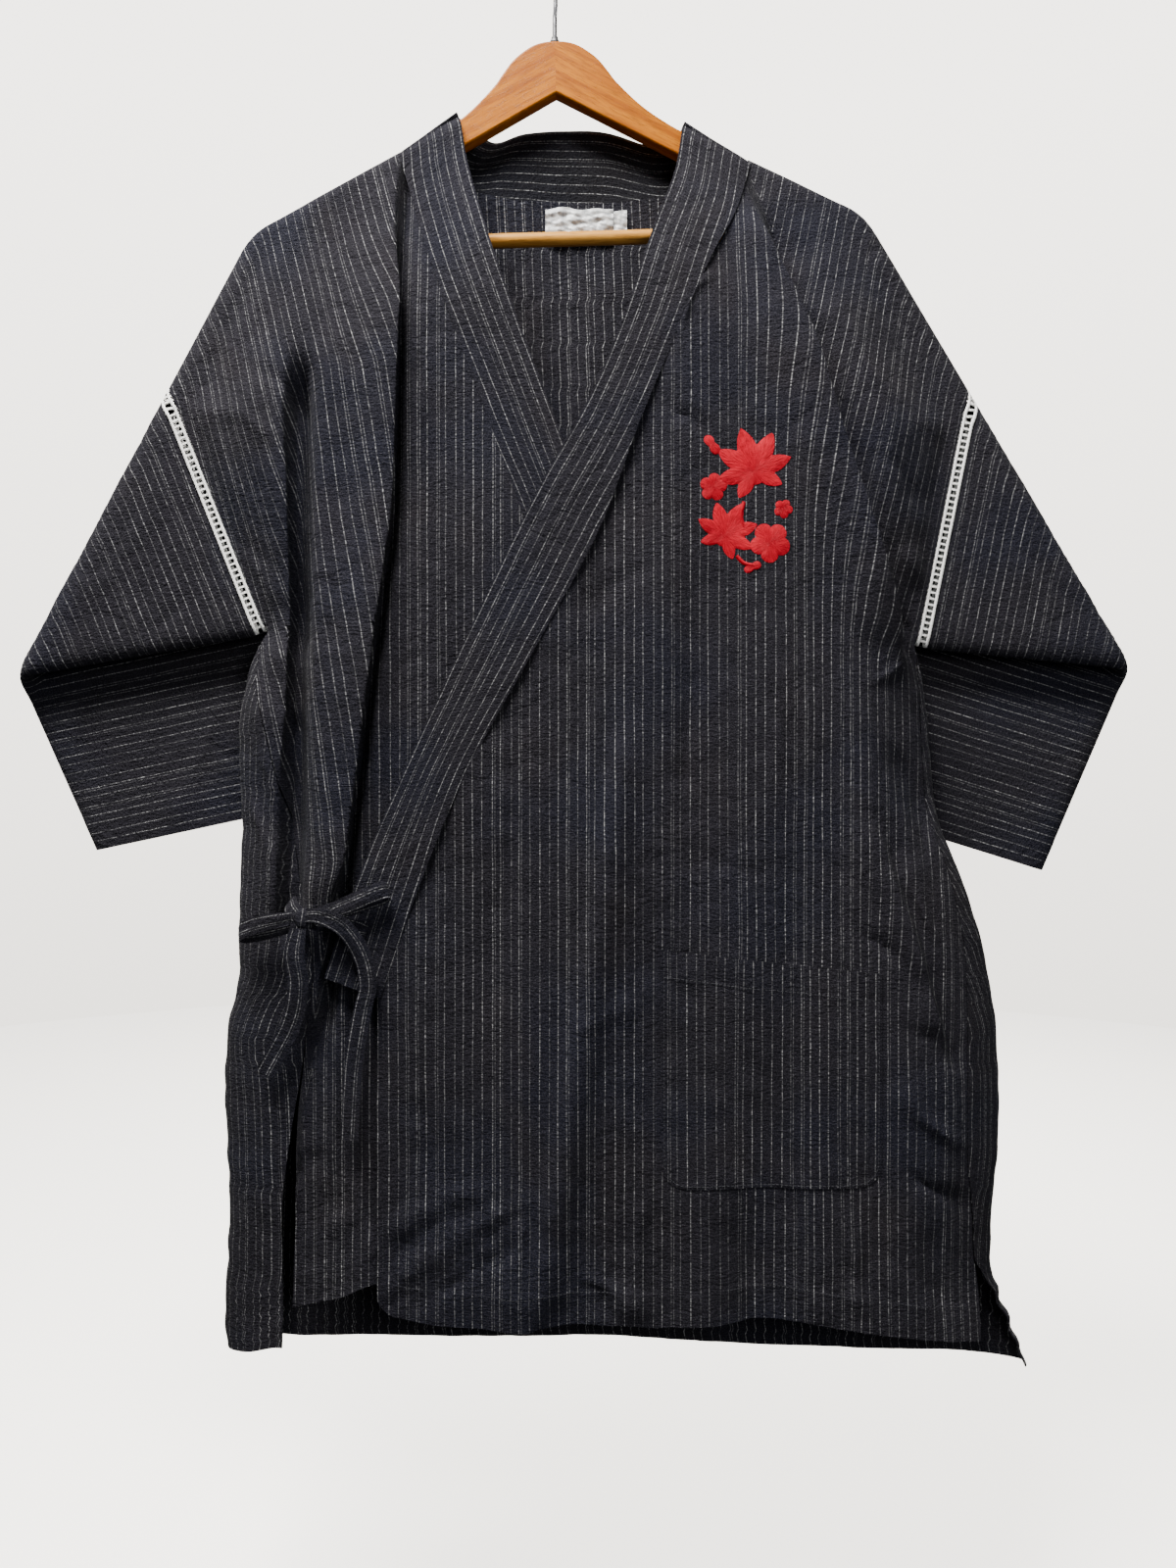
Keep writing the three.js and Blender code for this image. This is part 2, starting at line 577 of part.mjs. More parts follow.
// A loop round the flat tube, open by a seam's gap at the underarm.
function sleeveLoop(side, along, top, bottom, count) {
  const course = [];
  const turn = 12; // height over which each edge of the flat tube rounds
  const half = Math.round((bottom - top) / STEP);
  for (const layer of [-1, 1]) {
    for (let i = 0; i <= half; i += 1) {
      const t = (1 - Math.cos((Math.PI * i) / half)) / 2;
      const down = layer < 0 ? lerp(bottom, top, t) : lerp(top, bottom, t);
      const nearEdge = Math.min(down - top, bottom - down);
      const h = layer * Math.max(SEAM, LAYER * roundOff(nearEdge / turn));
      course.push(onSleeve(side, along, down, i === (layer < 0 ? half : 0) ? 0 : h));
    }
  }
  return spread(course, count);
}

function sleeve(side, stations, count) {
  const rows = [];
  for (let i = 0; i < stations; i += 1) {
    const f = i / (stations - 1);
    const along = lerp(ARM_EDGE, SLEEVE_LENGTH, f);
    rows.push(sleeveLoop(side, along, lerp(0, side.cuffTop, f), lerp(ARMHOLE, side.cuffBottom, f), count));
  }
  return wall(rows, CLOTH);
}

function lace(side, count) {
  const half = LACE_WIDTH / 2;
  return wall([-half, half].map((along) => sleeveLoop(side, along, 0, ARMHOLE, count)), CLOTH);
}

// ---- ties -------------------------------------------------------------------------------------
function strap({ width, rows }) {
  const stations = (rows.length - 1) * 2 + 1;
  const grid = [];
  for (let i = 0; i < stations; i += 1) {
    const at = (column) => through(rows, i / (stations - 1), column);
    const run = radians(at('run'));
    const middle = point(at('x'), at('y'), at('z'));
    const across = point(-Math.sin(run), 0, Math.cos(run)).multiplyScalar(width / 2);
    grid.push([middle.clone().sub(across), middle, middle.clone().add(across)]);
  }
  return wall(grid, CLOTH);
}

function knot() {
  const geometry = new THREE.IcosahedronGeometry(1, 2);
  geometry.scale(KNOT.halfX, KNOT.halfY, KNOT.halfZ);
  geometry.translate(KNOT.x, KNOT.y, KNOT.z);
  return geometry;
}

// ---- hanger -----------------------------------------------------------------------------------
function hangerArm(sign) {
  const gap = SEAM / 2;
  const outline = [...ARM_TOP, ...ARM_BOTTOM].map((row) => [sign * Math.max(row.out, gap), row.z]);
  const shape = new THREE.Shape(outline.map(([x, z]) => new THREE.Vector2(x, z)));
  const bevel = 3;
  const geometry = new THREE.ExtrudeGeometry(shape, {
    depth: HANGER_THICKNESS - 2 * bevel,
    bevelEnabled: true,
    bevelThickness: bevel,
    bevelSize: bevel,
    bevelOffset: -bevel,
    bevelSegments: 2,
  });
  geometry.rotateX(Math.PI / 2);
  geometry.translate(0, HANGER_THICKNESS / 2 - bevel, 0);
  return tilted(geometry);
}

// The wooden part hangs a little lower on the viewer's left, turned about its top.
function tilted(geometry) {
  geometry.translate(0, 0, -ARM_TOP[0].z);
  geometry.rotateY(-HANGER_TILT);
  geometry.translate(0, 0, ARM_TOP[0].z);
  return geometry;
}

function bar() {
  const length = 2 * (BAR_END - SEAM);
  const geometry = new THREE.CylinderGeometry(BAR_RADIUS, BAR_RADIUS, length, 16);
  geometry.rotateZ(Math.PI / 2);
  geometry.translate(0, 0, BAR_Z);
  return tilted(geometry);
}

function hook() {
  const top = WIRE_RADIUS - HOOK_RADIUS;
  const course = [point(0, 0, ARM_TOP[0].z + SEAM), point(0, 0, -52), point(0, 1, -42), point(0, 9, -34)];
  for (let angle = -20; angle <= 215; angle += 23.5) {
    const turn = radians(angle);
    course.push(point(0, HOOK_RADIUS * Math.cos(turn), top + HOOK_RADIUS * Math.sin(turn)));
  }
  const sides = 8;
  const round = Array.from({ length: sides }, (_, i) => (2 * Math.PI * i) / sides);
  const wire = new THREE.Shape(round.map((turn) => (
    new THREE.Vector2(WIRE_RADIUS * Math.cos(turn), WIRE_RADIUS * Math.sin(turn)))));
  return new THREE.ExtrudeGeometry(wire, { extrudePath: new THREE.CatmullRomCurve3(course), steps: 32 });
}

// ---- the jacket on its hanger -----------------------------------------------------------------
const jacket = new THREE.Group();
function add(name, finish, geometry) {
  const mesh = new THREE.Mesh(geometry, new THREE.MeshStandardMaterial(COLOURS[finish]));
  mesh.name = name;
  jacket.add(mesh);
}

add('back_body', 'cotton', backPanel(24));
add('front_right', 'cotton', frontPanel('under', 15));
add('front_left', 'cotton', frontPanel('over', 15));
add('collar', 'cotton', collar(60, 4));
add('pocket', 'cotton', pocket());
for (const [name, side] of Object.entries(SIDES)) {
  add(`sleeve_${name}`, 'cotton', sleeve(side, 16, 30));
  add(`lace_${name}`, 'lace', lace(side, 30));
}
for (const [name, rows] of Object.entries(STRAPS)) add(name, 'cotton', strap(rows));
add('tie_knot', 'cotton', knot());
add('neck_label', 'label', label(NECK_LABEL));
add('size_label', 'label', label(SIZE_LABEL));
add('hanger_arm_right', 'wood', hangerArm(-1));
add('hanger_arm_left', 'wood', hangerArm(1));
add('hanger_bar', 'dowel', bar());
add('hanger_hook', 'steel', hook());

export default jacket;
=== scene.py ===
"""The hung jinbei jacket: cloth, lace, sewing, hanger, light and camera. Sizes are millimetres."""
import math

import bpy
import numpy as np
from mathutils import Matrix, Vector


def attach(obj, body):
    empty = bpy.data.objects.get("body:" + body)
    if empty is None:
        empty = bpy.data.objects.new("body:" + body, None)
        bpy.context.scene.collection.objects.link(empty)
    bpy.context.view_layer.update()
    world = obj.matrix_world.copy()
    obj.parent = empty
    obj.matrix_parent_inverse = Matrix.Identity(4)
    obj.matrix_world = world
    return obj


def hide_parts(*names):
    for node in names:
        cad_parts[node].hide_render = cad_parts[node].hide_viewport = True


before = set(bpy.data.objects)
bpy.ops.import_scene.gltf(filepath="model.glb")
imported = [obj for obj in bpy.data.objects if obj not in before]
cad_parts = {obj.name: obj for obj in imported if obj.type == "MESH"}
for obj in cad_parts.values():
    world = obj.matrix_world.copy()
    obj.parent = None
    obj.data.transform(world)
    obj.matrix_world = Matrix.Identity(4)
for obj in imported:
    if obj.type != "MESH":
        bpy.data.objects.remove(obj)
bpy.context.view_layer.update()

MM = 0.001
CLOTH = 1.0
BAND = 1.9
SEAM = 0.3
LACE_GAP = 0.95
ON_TOP = 2.2
LAYER = 5
FOLD_RADIUS = 10
FRONT_DEPTH = 26
BACK_DEPTH = 11
ON_HANGER = 7.5
SIDE_ROUNDING = 60
HANGER_ROUNDING = 24
TOP_ROUNDING = 9
OVERLAP = 6
ARMHOLE = 256
SLEEVE_LENGTH = 313
LACE_WIDTH = 8
SLIT_TOP = -928
HEM = 23  # height of the turned-up hems
STRIPE_ORIGIN = 20  # X from which the back's stripes are counted
MIDDLE_X = 25  # where the wearer's right half ends and the left half starts
SIDE_TOP = -480  # where the table of the body's sides starts
STRIP_LIFT = 6  # how much shorter the back hangs along the right slit's edge
TURN_WEIGHT = 30

# ---- tables -----------------------------------------------------------------------------------


def table(columns, *rows):
    """A table as a dictionary of columns."""
    return {name: np.array([row[i] for row in rows], float) for i, name in enumerate(columns.split())}


SIDES = {
    "right": dict(sign=-1, tipX=-207, tipZ=-204, foldLean=28.1, pitX=-210, pitZ=-483, lean=21.7,
                  cuffTop=-12, cuffBottom=191),
    "left": dict(sign=1, tipX=210, tipZ=-188, foldLean=30.6, pitX=262, pitZ=-493, lean=11.4,
                 cuffTop=10, cuffBottom=225),
}
SHOULDER = table("x z", (-305, -245), (-218, -199), (-110, -140), (0, -80), (139, -146), (220, -184),
                 (312, -242))
BACK_TOP = table("x z", (-305, -245), (-218, -199), (-110, -140), (-98, -152), (-72, -161), (-30, -169),
                 (40, -170), (76, -167), (112, -159), (139, -146), (220, -184), (312, -242))
BODY = table(
    "z outR backR frontR outL backL frontL",
    (-480, -203.4, -203, -203, 257, 256.6, 256.6),
    (-493, -211, -209, -209, 257.4, 257, 257),
    (-515, -219, -210, -210, 262, 259, 259),
    (-540, -222, -204, -204, 264, 259, 259),
    (-600, -223, -190, -190, 270, 262, 262),
    (-670, -224, -177, -177, 294, 281, 281),
    (-720, -225, -166, -166, 308, 288, 288),
    (-770, -235, -172, -172, 316, 288, 288),
    (-840, -233, -183.5, -179.5, 316, 287, 287),
    (-900, -233, -189.5, -180, 312, 293.6, 293),
    (-924, -233.4, -189, -181, 311, 295, 294.4),
    (-932, -233.5, -189, -181, 311, 299.5, 296.5),
    (-950, -234, -188.5, -181.5, 315, 310, 298),
    (-968, -234, -188.5, -181.5, 322, 319, 298),
    (-1005, -234, -189.5, -181.5, 337, 335, 297),
)
HEMS = {
    "back": table("x z", (-240, -991), (-208, -988.5), (-176, -990), (-52, -991.6), (24, -991.5), (137, -997),
                  (251, -1000.5), (340, -1004.5)),
    "over": table("x z", (-122, -953), (-109, -958), (-80, -963), (-46, -965.5), (-19, -967.5), (-8, -964),
                  (51, -963), (68, -965.5), (98, -963), (147, -959.5), (205, -966), (241, -971.5),
                  (277, -976.5), (300, -979)),
    "under": table("x z", (-190, -955.5), (-150, -947), (-120, -936.5), (60, -945), (122, -952)),
}
INNER_EDGE = {
    "over": table("z x", (-140, 139), (-161, 135), (-195, 124), (-263, 92), (-337, 60), (-427, 26),
                  (-486, -7), (-579, -58), (-658, -92), (-734, -121), (-841, -121), (-960, -121)),
    "under": table("z x", (-135, -111), (-151, -107), (-226, -86), (-295, -60), (-403, -22), (-486, 9),
                   (-579, 60), (-658, 94), (-734, 121), (-841, 121), (-960, 121)),
}
COLLAR_FRONT = "freeX freeZ seamX seamZ"
COLLAR_UNDER = table(
    COLLAR_FRONT, (155, -722, 116, -738), (134, -658, 90, -660), (106, -588, 58, -581), (60, -488, 12, -502),
    (30, -420, -20, -409), (4, -347, -43, -345), (-30, -255, -74, -260), (-48, -200, -90, -214),
    (-61, -153, -102, -172), (-66, -124, -109, -149))
COLLAR_BACK = table(
    "freeX freeZ seamX seamZ freeY seamY",
    (-69, -115, -110, -145, -7, -8.5), (-70, -113, -110, -142.5, 0, 0), (-67, -112, -108, -143, 7, 9.6),
    (-60, -116, -97, -153, 12, 11), (-44, -124, -74, -161, 15, 12.2), (-22, -117, -44, -169, 16, 12.6),
    (6, -115, -2, -172, 16, 12.9), (36, -116, 40, -172, 16, 12.9), (64, -125, 76, -169, 15, 12.6),
    (82, -128, 112, -161, 12, 11.4), (90, -121, 132, -150, 7, 9.8), (92, -119, 139, -148, 0, 0),
    (92, -122, 139, -152, -7, -8.5))
COLLAR_OVER = table(
    COLLAR_FRONT, (90, -130, 137, -158), (84, -163, 127, -190), (68, -209, 109, -226), (48, -271, 87, -276),
    (22, -331, 60, -340), (-14, -395, 31, -417), (-58, -486, -9, -491), (-106, -590, -58, -580),
    (-134, -656, -91, -658), (-157, -724, -119, -738))

# The largest folds, as in the part: crest line, height and the widths over which it falls away.
FOLD_COLUMNS = "height toLeft toRight topZ topX midZ midX footZ footX"
FOLDS = {
    "under": table(FOLD_COLUMNS,
                   (8, 50, 6, -170, -111, -400, -120, -690, -158),
                   (-4, 16, 22, -250, -176, -450, -178, -670, -184)),
    "over": table(FOLD_COLUMNS,
                  (5, 60, 16, -200, 142, -350, 192, -520, 252),
                  (4, 40, 18, -620, 236, -690, 252, -760, 272),
                  (3, 22, 34, -560, 52, -780, 18, -975, -14)),
}

# Smaller creases: soft troughs (rise under 0) and ridges. width is across the crease, and
# bow is how far its middle stands aside from the straight line between its ends.
CREASE = "x0 z0 x1 z1 rise width bow"
CREASES = {
    "over": table(
        CREASE,
        (-112, -940, -9, -878, 1.2, 7, 9), (-104, -962, 4, -896, -0.6, 6, 6),
        (-62, -925, 40, -905, -0.5, 7, 4), (-116, -900, -40, -868, 1.1, 9, 5),
        (-114, -922, -60, -880, -0.6, 6, 4), (20, -930, 66, -962, 1.0, 9, 4),
        (98, -222, 76, -262, -1.3, 4, -3), (108, -236, 88, -276, 1.1, 4, -3),
        (72, -330, 112, -352, -0.9, 5, 2), (230, -560, 262, -640, -1.8, 9, 5),
        (242, -640, 268, -700, 1.5, 8, -4), (205, -690, 262, -744, -1.3, 9, 6),
        (246, -760, 282, -790, -1.6, 8, 3), (236, -795, 284, -842, 1.4, 7, -5),
        (243, -862, 287, -888, -1.5, 7, 3), (30, -520, 8, -700, 0.9, 12, 6),
        (104, -430, 92, -620, -0.9, 14, -5), (148, -470, 152, -640, 0.8, 12, 5),
        (-30, -600, -52, -760, -0.8, 11, 5), (184, -545, 196, -690, -1.0, 12, 4),
        (60, -860, 52, -960, 1.0, 10, 3), (-88, -790, -70, -900, -0.8, 9, -4),
        (120, -885, 138, -962, -1.1, 11, 4), (206, -885, 214, -968, 1.2, 10, -3),
        (-20, -880, -34, -966, 1.1, 9, 2), (252, -892, 270, -970, -1.2, 9, 3),
        (90, -640, 150, -660, -0.6, 9, 3), (10, -760, 84, -742, 0.6, 10, 4),
        (160, -262, 196, -300, -1.0, 8, 3), (196, -250, 232, -322, 0.9, 9, -4),
        (222, -360, 262, -400, -0.8, 8, 3), (240, -430, 270, -452, 1.2, 7, 2),
        (236, -470, 262, -488, -1.6, 6, 2), (214, -520, 256, -502, 1.0, 7, -2),
        (136, -190, 150, -240, 1.2, 6, 1), (20, -470, 70, -440, -0.7, 8, 3)),
    "under": table(
        CREASE,
        (-212, -520, -196, -604, 1.6, 8, 3), (-196, -508, -181, -560, -1.5, 7, -3),
        (-214, -600, -190, -676, 1.2, 8, 4), (-250, -270, -224, -372, -1.1, 10, 4),
        (-202, -300, -176, -334, -0.9, 5, 2), (-228, -420, -196, -470, 1.2, 9, 3),
        (-180, -210, -150, -330, 0.8, 12, -4), (-150, -330, -158, -520, -1.0, 9, 3),
        (-92, -300, -100, -470, 0.8, 10, 3), (-60, -420, -76, -600, -0.9, 11, 4),
        (-120, -500, -118, -640, 0.9, 8, -3), (-84, -600, -112, -700, -0.8, 9, 3),
        (-150, -720, -158, -870, 1.0, 9, 3), (-176, -760, -172, -900, -1.0, 8, -3),
        (-138, -860, -128, -930, 0.9, 7, 2), (-186, -872, -160, -846, -0.8, 6, 2),
        (-156, -905, -134, -886, 0.8, 6, 2), (-230, -330, -196, -352, 0.8, 6, 3)),
    "back": table(
        CREASE,
        (-226, -985, -196, -930, 1.4, 8, 3), (-218, -905, -198, -860, -1.0, 7, 3),
        (-150, -330, -120, -480, 1.5, 16, 8), (-80, -240, -60, -470, -1.2, 18, 6),
        (10, -210, 2, -520, 1.3, 20, -7), (92, -230, 110, -470, -1.4, 17, -6),
        (170, -300, 205, -470, 1.5, 15, -7), (-170, -540, -140, -760, -1.3, 18, 7),
        (-60, -560, -80, -840, 1.4, 20, 8), (40, -600, 62, -900, -1.3, 22, -9),
        (150, -560, 172, -820, 1.5, 18, 6), (230, -600, 262, -790, -1.2, 14, 6),
        (-196, -760, -190, -930, 1.2, 12, 4), (-110, -850, -96, -975, -1.3, 14, -4),
        (20, -880, 8, -980, 1.2, 13, 4), (120, -860, 136, -985, 1.3, 14, 4),
        (210, -850, 232, -990, -1.4, 13, -5), (270, -820, 300, -985, 1.3, 11, 5),
        (-190, -470, -120, -520, -1.0, 10, 5), (150, -500, 250, -480, -1.1, 11, -5),
        (-40, -690, 60, -672, -0.7, 12, 6)),
    "pocket": table(
        CREASE,
        (206, -752, 226, -744, -1.0, 4, 2), (96, -820, 150, -800, 0.7, 8, 4),
        (170, -770, 188, -850, -0.8, 9, 4), (84, -740, 104, -810, 0.6, 8, 3)),
}
SLEEVE_CREASES = {
    # along the sleeve and down from its top edge, for both of its halves
    "right": table(
        "a0 d0 a1 d1 rise width bow",
        (30, 60, 150, 92, -1.0, 9, 6), (20, 130, 120, 190, 1.2, 10, 8), (70, 30, 210, 52, 0.9, 8, 5),
        (140, 150, 250, 176, -1.1, 9, -6), (200, 60, 296, 84, 1.0, 8, 4), (36, 214, 130, 236, -1.2, 7, 4),
        (230, 120, 300, 140, 0.9, 8, 3), (150, 206, 240, 196, 1.0, 7, 4)),
    "left": table(
        "a0 d0 a1 d1 rise width bow",
        (24, 80, 140, 110, 1.1, 9, 6), (30, 150, 128, 214, -1.3, 10, 8), (90, 40, 220, 66, -0.9, 8, 5),
        (150, 130, 262, 150, 1.2, 10, -6), (210, 50, 300, 90, -1.0, 8, 4), (40, 224, 150, 240, 1.2, 7, 3),
        (226, 160, 292, 200, -1.3, 8, 4), (120, 190, 210, 214, 1.2, 7, 4)),
}

POCKET = dict(topZ=-705, topFall=0.11, bottomZ=-869, leftX=74, rightX=226, corner=17)
POCKET_CLOTH = 0.6
POCKET_SEWING = 2.2  # from the pocket's edge to its sewing line
SATIN = 0.35
NECK_LABEL = dict(fromX=-7, toX=42, topZ=-175, bottomZ=-199)
SIZE_LABEL = dict(fromX=42.4, toX=52, topZ=-177, bottomZ=-192)

STRAP = "x y z run"
STRAPS = {
    "tie_front_root": (12, table(
        STRAP, (-128, -36.2, -692, 165), (-148, -36.4, -687, 168), (-167, -36.5, -684, 172))),
    "tie_side_root": (12, table(
        STRAP, (-182, -28.5, -672, -40), (-180, -32.5, -676, -40), (-174.5, -37, -681, -40))),
    "tie_loop_left": (12, table(
        STRAP, (-162.6, -44.2, -682, 20), (-138, -46, -672, 20), (-119, -45, -664, 20),
        (-112, -42.5, -663, 15), (-116, -40.2, -667, 12), (-138, -40.6, -674, 14), (-160.6, -40.6, -681, 20))),
    "tie_loop_right": (13, table(
        STRAP, (-177.8, -43, -682, 165), (-198, -43.5, -686, 172), (-210, -42, -690, 175),
        (-213, -40, -692, 178), (-209, -38.4, -693, 178), (-196, -39, -691, 172), (-179, -39.8, -687, 165))),
    "tie_tail_left": (12, table(
        STRAP, (-167, -45.4, -680, -5), (-156, -47.6, -680, -12), (-141, -46.8, -688, -42),
        (-130, -43, -706, -65), (-126, -40.5, -727, -88), (-130, -39, -747, -100), (-136, -38.4, -784, -98),
        (-139, -38, -834, -92))),
    "tie_tail_right": (14, table(
        STRAP, (-172, -44.6, -689, -92), (-175, -44.6, -707, -90), (-173, -42, -728, -95),
        (-179, -38, -755, -110), (-198, -34, -790, -122))),
}
KNOT = dict(x=-169, y=-41, z=-683, halfX=8, halfY=3.6, halfZ=7.5)

ARM_TOP = table("out z", (0, -62), (8, -62.6), (16, -65), (24, -70), (31, -76), (38, -85), (44, -93),
                (60, -109),
                (76, -121), (92, -130.5), (139, -155), (178, -175.2))
ARM_END = table("out z", (185.5, -181), (187, -190), (185.5, -200), (182, -206), (175, -208.5), (166, -209))
ARM_BOTTOM = table("out z", (166, -188.5), (150, -180.5), (120, -164.5), (90, -148), (60, -131.5),
                   (30, -115.2), (0, -99))
BAR_Z = -201
BAR_END = 166
BAR_RADIUS = 5
HANGER_TILT = 0.028
HANGER_THICKNESS = 11
HOOK_RADIUS = 19
HONEY_DARK = (0.26, 0.066, 0.001, 1)
HONEY_LIGHT = (0.42, 0.135, 0.002, 1)
WIRE_RADIUS = 1.6


# ---- small helpers ----------------------------------------------------------------------------
def lerp(a, b, t):
    return a + (b - a) * t


def smooth(t):
    """A soft step from 0 to 1."""
    t = np.clip(t, 0, 1)
    return t * t * (3 - 2 * t)


def round_off(t):
    """A quarter circle from 0 to 1."""
    return np.sqrt(np.maximum(0, 1 - (1 - np.clip(t, 0, 1)) ** 2))


def rising(rows, key, column):
    """Two of a table's columns, in the order in which the first one rises."""
    keys, values = rows[key], rows[column]
    return (keys, values) if keys[0] < keys[-1] else (keys[::-1], values[::-1])


def look(rows, key, at, column):
    """A column's value where another column has the value at, on straight lines between rows."""
    return np.interp(at, *rising(rows, key, column))


def flow(rows, key, at, column):
    """The same on a smooth course that never swings past its rows."""
    keys, values = rising(rows, key, column)
    step = np.diff(keys)
    rise = np.diff(values) / step
    tangent = np.zeros(len(keys))
    same = rise[:-1] * rise[1:] > 0
    tangent[1:-1] = np.where(same, 2 * rise[:-1] * rise[1:] / np.where(same, rise[:-1] + rise[1:], 1), 0)
    tangent[0], tangent[-1] = rise[0], rise[-1]
    at = np.clip(at, keys[0], keys[-1])
    i = np.clip(np.searchsorted(keys, at) - 1, 0, len(step) - 1)
    t = (at - keys[i]) / step[i]
    a, b = values[i], values[i + 1]
    ta, tb = tangent[i] * step[i], tangent[i + 1] * step[i]
    return a + t * (ta + t * (3 * (b - a) - 2 * ta - tb + t * (2 * (a - b) + ta + tb)))


def run_along(points):
    """How far each point lies along a course."""
    return np.concatenate([[0], np.cumsum(np.linalg.norm(np.diff(points, axis=0), axis=1))])


def row_of(rows, k):
    return {name: values[k] for name, values in rows.items()}


def unit(vectors):
    return vectors / np.maximum(np.linalg.norm(vectors, axis=-1, keepdims=True), 1e-9)


def ring_faces(rings, steps):
    """Faces between closed rings of points."""
    around = [(k, (k + 1) % steps) for k in range(steps)]
    return [(i * steps + a, i * steps + b, (i + 1) * steps + b, (i + 1) * steps + a)
            for i in range(rings - 1) for a, b in around]


def through(column, t):
    """A smooth course through evenly counted values, t from 0 to 1."""
    last = len(column) - 1
    i = np.minimum(np.floor(t * last).astype(int), last - 1)
    f = t * last - i
    a, b, c, d = (column[np.clip(i + k, 0, last)] for k in (-1, 0, 1, 2))
    return b + 0.5 * f * (c - a + f * (2 * a - 5 * b + 4 * c - d + f * (3 * (b - c) + d - a)))


def uneven(x, z, size, seed):
    """Smooth unevenness, about -1 to 1, with waves about size long."""
    rng = np.random.default_rng(seed)
    total = 0
    for _ in range(7):
        turn = rng.uniform(0, math.tau)
        wave = size * rng.uniform(0.6, 1.6)
        shift = rng.uniform(0, math.tau)
        total = total + np.sin(math.tau * (x * math.cos(turn) + z * math.sin(turn)) / wave + shift)
    return total / 3.2


def crease_height(rows, x, z, keys=("x0", "z0", "x1", "z1")):
    """The sum of a table's creases at a place."""
    total = np.zeros(np.broadcast(x, z).shape)
    for k in range(len(rows["rise"])):
        x0, z0, x1, z1 = (rows[key][k] for key in keys)
        length = math.hypot(x1 - x0, z1 - z0)
        ux, uz = (x1 - x0) / length, (z1 - z0) / length
        t = ((x - x0) * ux + (z - z0) * uz) / length
        aside = -(x - x0) * uz + (z - z0) * ux
        inside = np.clip(t, 0, 1)
        aside = aside - rows["bow"][k] * 4 * inside * (1 - inside) - 1.1 * np.sin(9 * inside + k)
        width = rows["width"][k] * (0.75 + 0.4 * np.sin(5 * inside + 2 * k))
        ends = smooth((t + 0.12) / 0.4) * smooth((1.12 - t) / 0.4)
        total += rows["rise"][k] * ends * np.exp(-(aside / width) ** 2)
    return total


# ---- the shape of the hung cloth --------------------------------------------------------------
def shoulder_z(x):
    return look(SHOULDER, "x", x, "z")


def armpit_z(x):
    """Z of the straight line from armpit to armpit."""
    right, left = SIDES["right"], SIDES["left"]
    return lerp(right["pitZ"], left["pitZ"], (x - right["pitX"]) / (left["pitX"] - right["pitX"]))


def past_fold(side, x, z):
    """How far a place lies past the line where the sleeve folds back."""
    lean = math.radians(side["foldLean"])
    return (x - side["tipX"]) * side["sign"] * math.cos(lean) + (z - side["tipZ"]) * math.sin(lean)


def fold_back(side, x, z, h):
    """Turns what lies past the fold line round behind; h is its height over the middle."""
    lean = math.radians(side["foldLean"])
    past = np.maximum(past_fold(side, x, z), 0)
    turn = np.minimum(past / FOLD_RADIUS, math.pi)
    beyond = np.maximum(0, past - math.pi * FOLD_RADIUS)
    out = (FOLD_RADIUS - h) * np.sin(turn) - beyond - past
    y = FOLD_RADIUS - (FOLD_RADIUS - h) * np.cos(turn)
    return np.stack([x + out * side["sign"] * math.cos(lean), y, z + out * math.sin(lean)], -1)


def inside_armhole(side, x, z):
    """How far a place lies inside the armhole seam."""
    lean = math.radians(side["lean"])
    return -((x - side["pitX"]) * side["sign"] * math.cos(lean) - (z - side["pitZ"]) * math.sin(lean))


def armhole_x(side, z, inside):
    """X of the line that runs so far inside the armhole seam."""
    lean = math.radians(side["lean"])
    return side["pitX"] + side["sign"] * ((z - side["pitZ"]) * math.tan(lean) - inside / math.cos(lean))


def by_side(x, right, left):
    return np.where(x < MIDDLE_X, right, left)


def body_x(z, column):
    """X of a line down the body's sides; above the table it stays at its first row."""
    return flow(BODY, "z", z, column)


def half_depth(x, z, depth):
    """How far a body panel hangs out from the middle, for its full depth."""
    outline = by_side(x, body_x(z, "outR"), body_x(z, "outL"))
    above = z - armpit_z(x)
    below = by_side(x, -1, 1) * (outline - x)
    past = by_side(x, past_fold(SIDES["right"], x, z), past_fold(SIDES["left"], x, z))
    armhole = by_side(x, inside_armhole(SIDES["right"], x, z), inside_armhole(SIDES["left"], x, z))
    beside = np.maximum(0, np.minimum(-past, armhole))
    mix = smooth(0.5 - above / 40)
    edge = np.where(above > 0, LAYER * round_off(above / 12), 0)
    down = shoulder_z(x) - z
    hung = lerp(ON_HANGER, depth, smooth(down / 150) * smooth(beside / SIDE_ROUNDING))
    at_shoulder = lerp(edge, hung, smooth(beside / HANGER_ROUNDING))
    at_side = lerp(edge, depth, round_off(below / SIDE_ROUNDING))
    return lerp(at_shoulder, at_side, mix) * round_off(down / TOP_ROUNDING)


def crest_x(fold, z):
    """X of a fold's crest, on two straight lines from its top to its foot."""
    upper = (fold["topZ"] - z) / (fold["topZ"] - fold["midZ"])
    lower = (fold["midZ"] - z) / (fold["midZ"] - fold["footZ"])
    above = lerp(fold["topX"], fold["midX"], upper)
    return np.where(z > fold["midZ"], above, lerp(fold["midX"], fold["footX"], lower))


def fold_height(folds, x, z, starts=90):
    total = 0
    for k in range(len(folds["height"])):
        fold = row_of(folds, k)
        fade = smooth((fold["topZ"] - z) / starts) * smooth((z - fold["footZ"]) / 50)
        away = x - crest_x(fold, z)
        width = np.where(away < 0, fold["toLeft"], fold["toRight"])
        total = total + fold["height"] * fade * (1 - smooth(np.abs(away) / width))
    return total


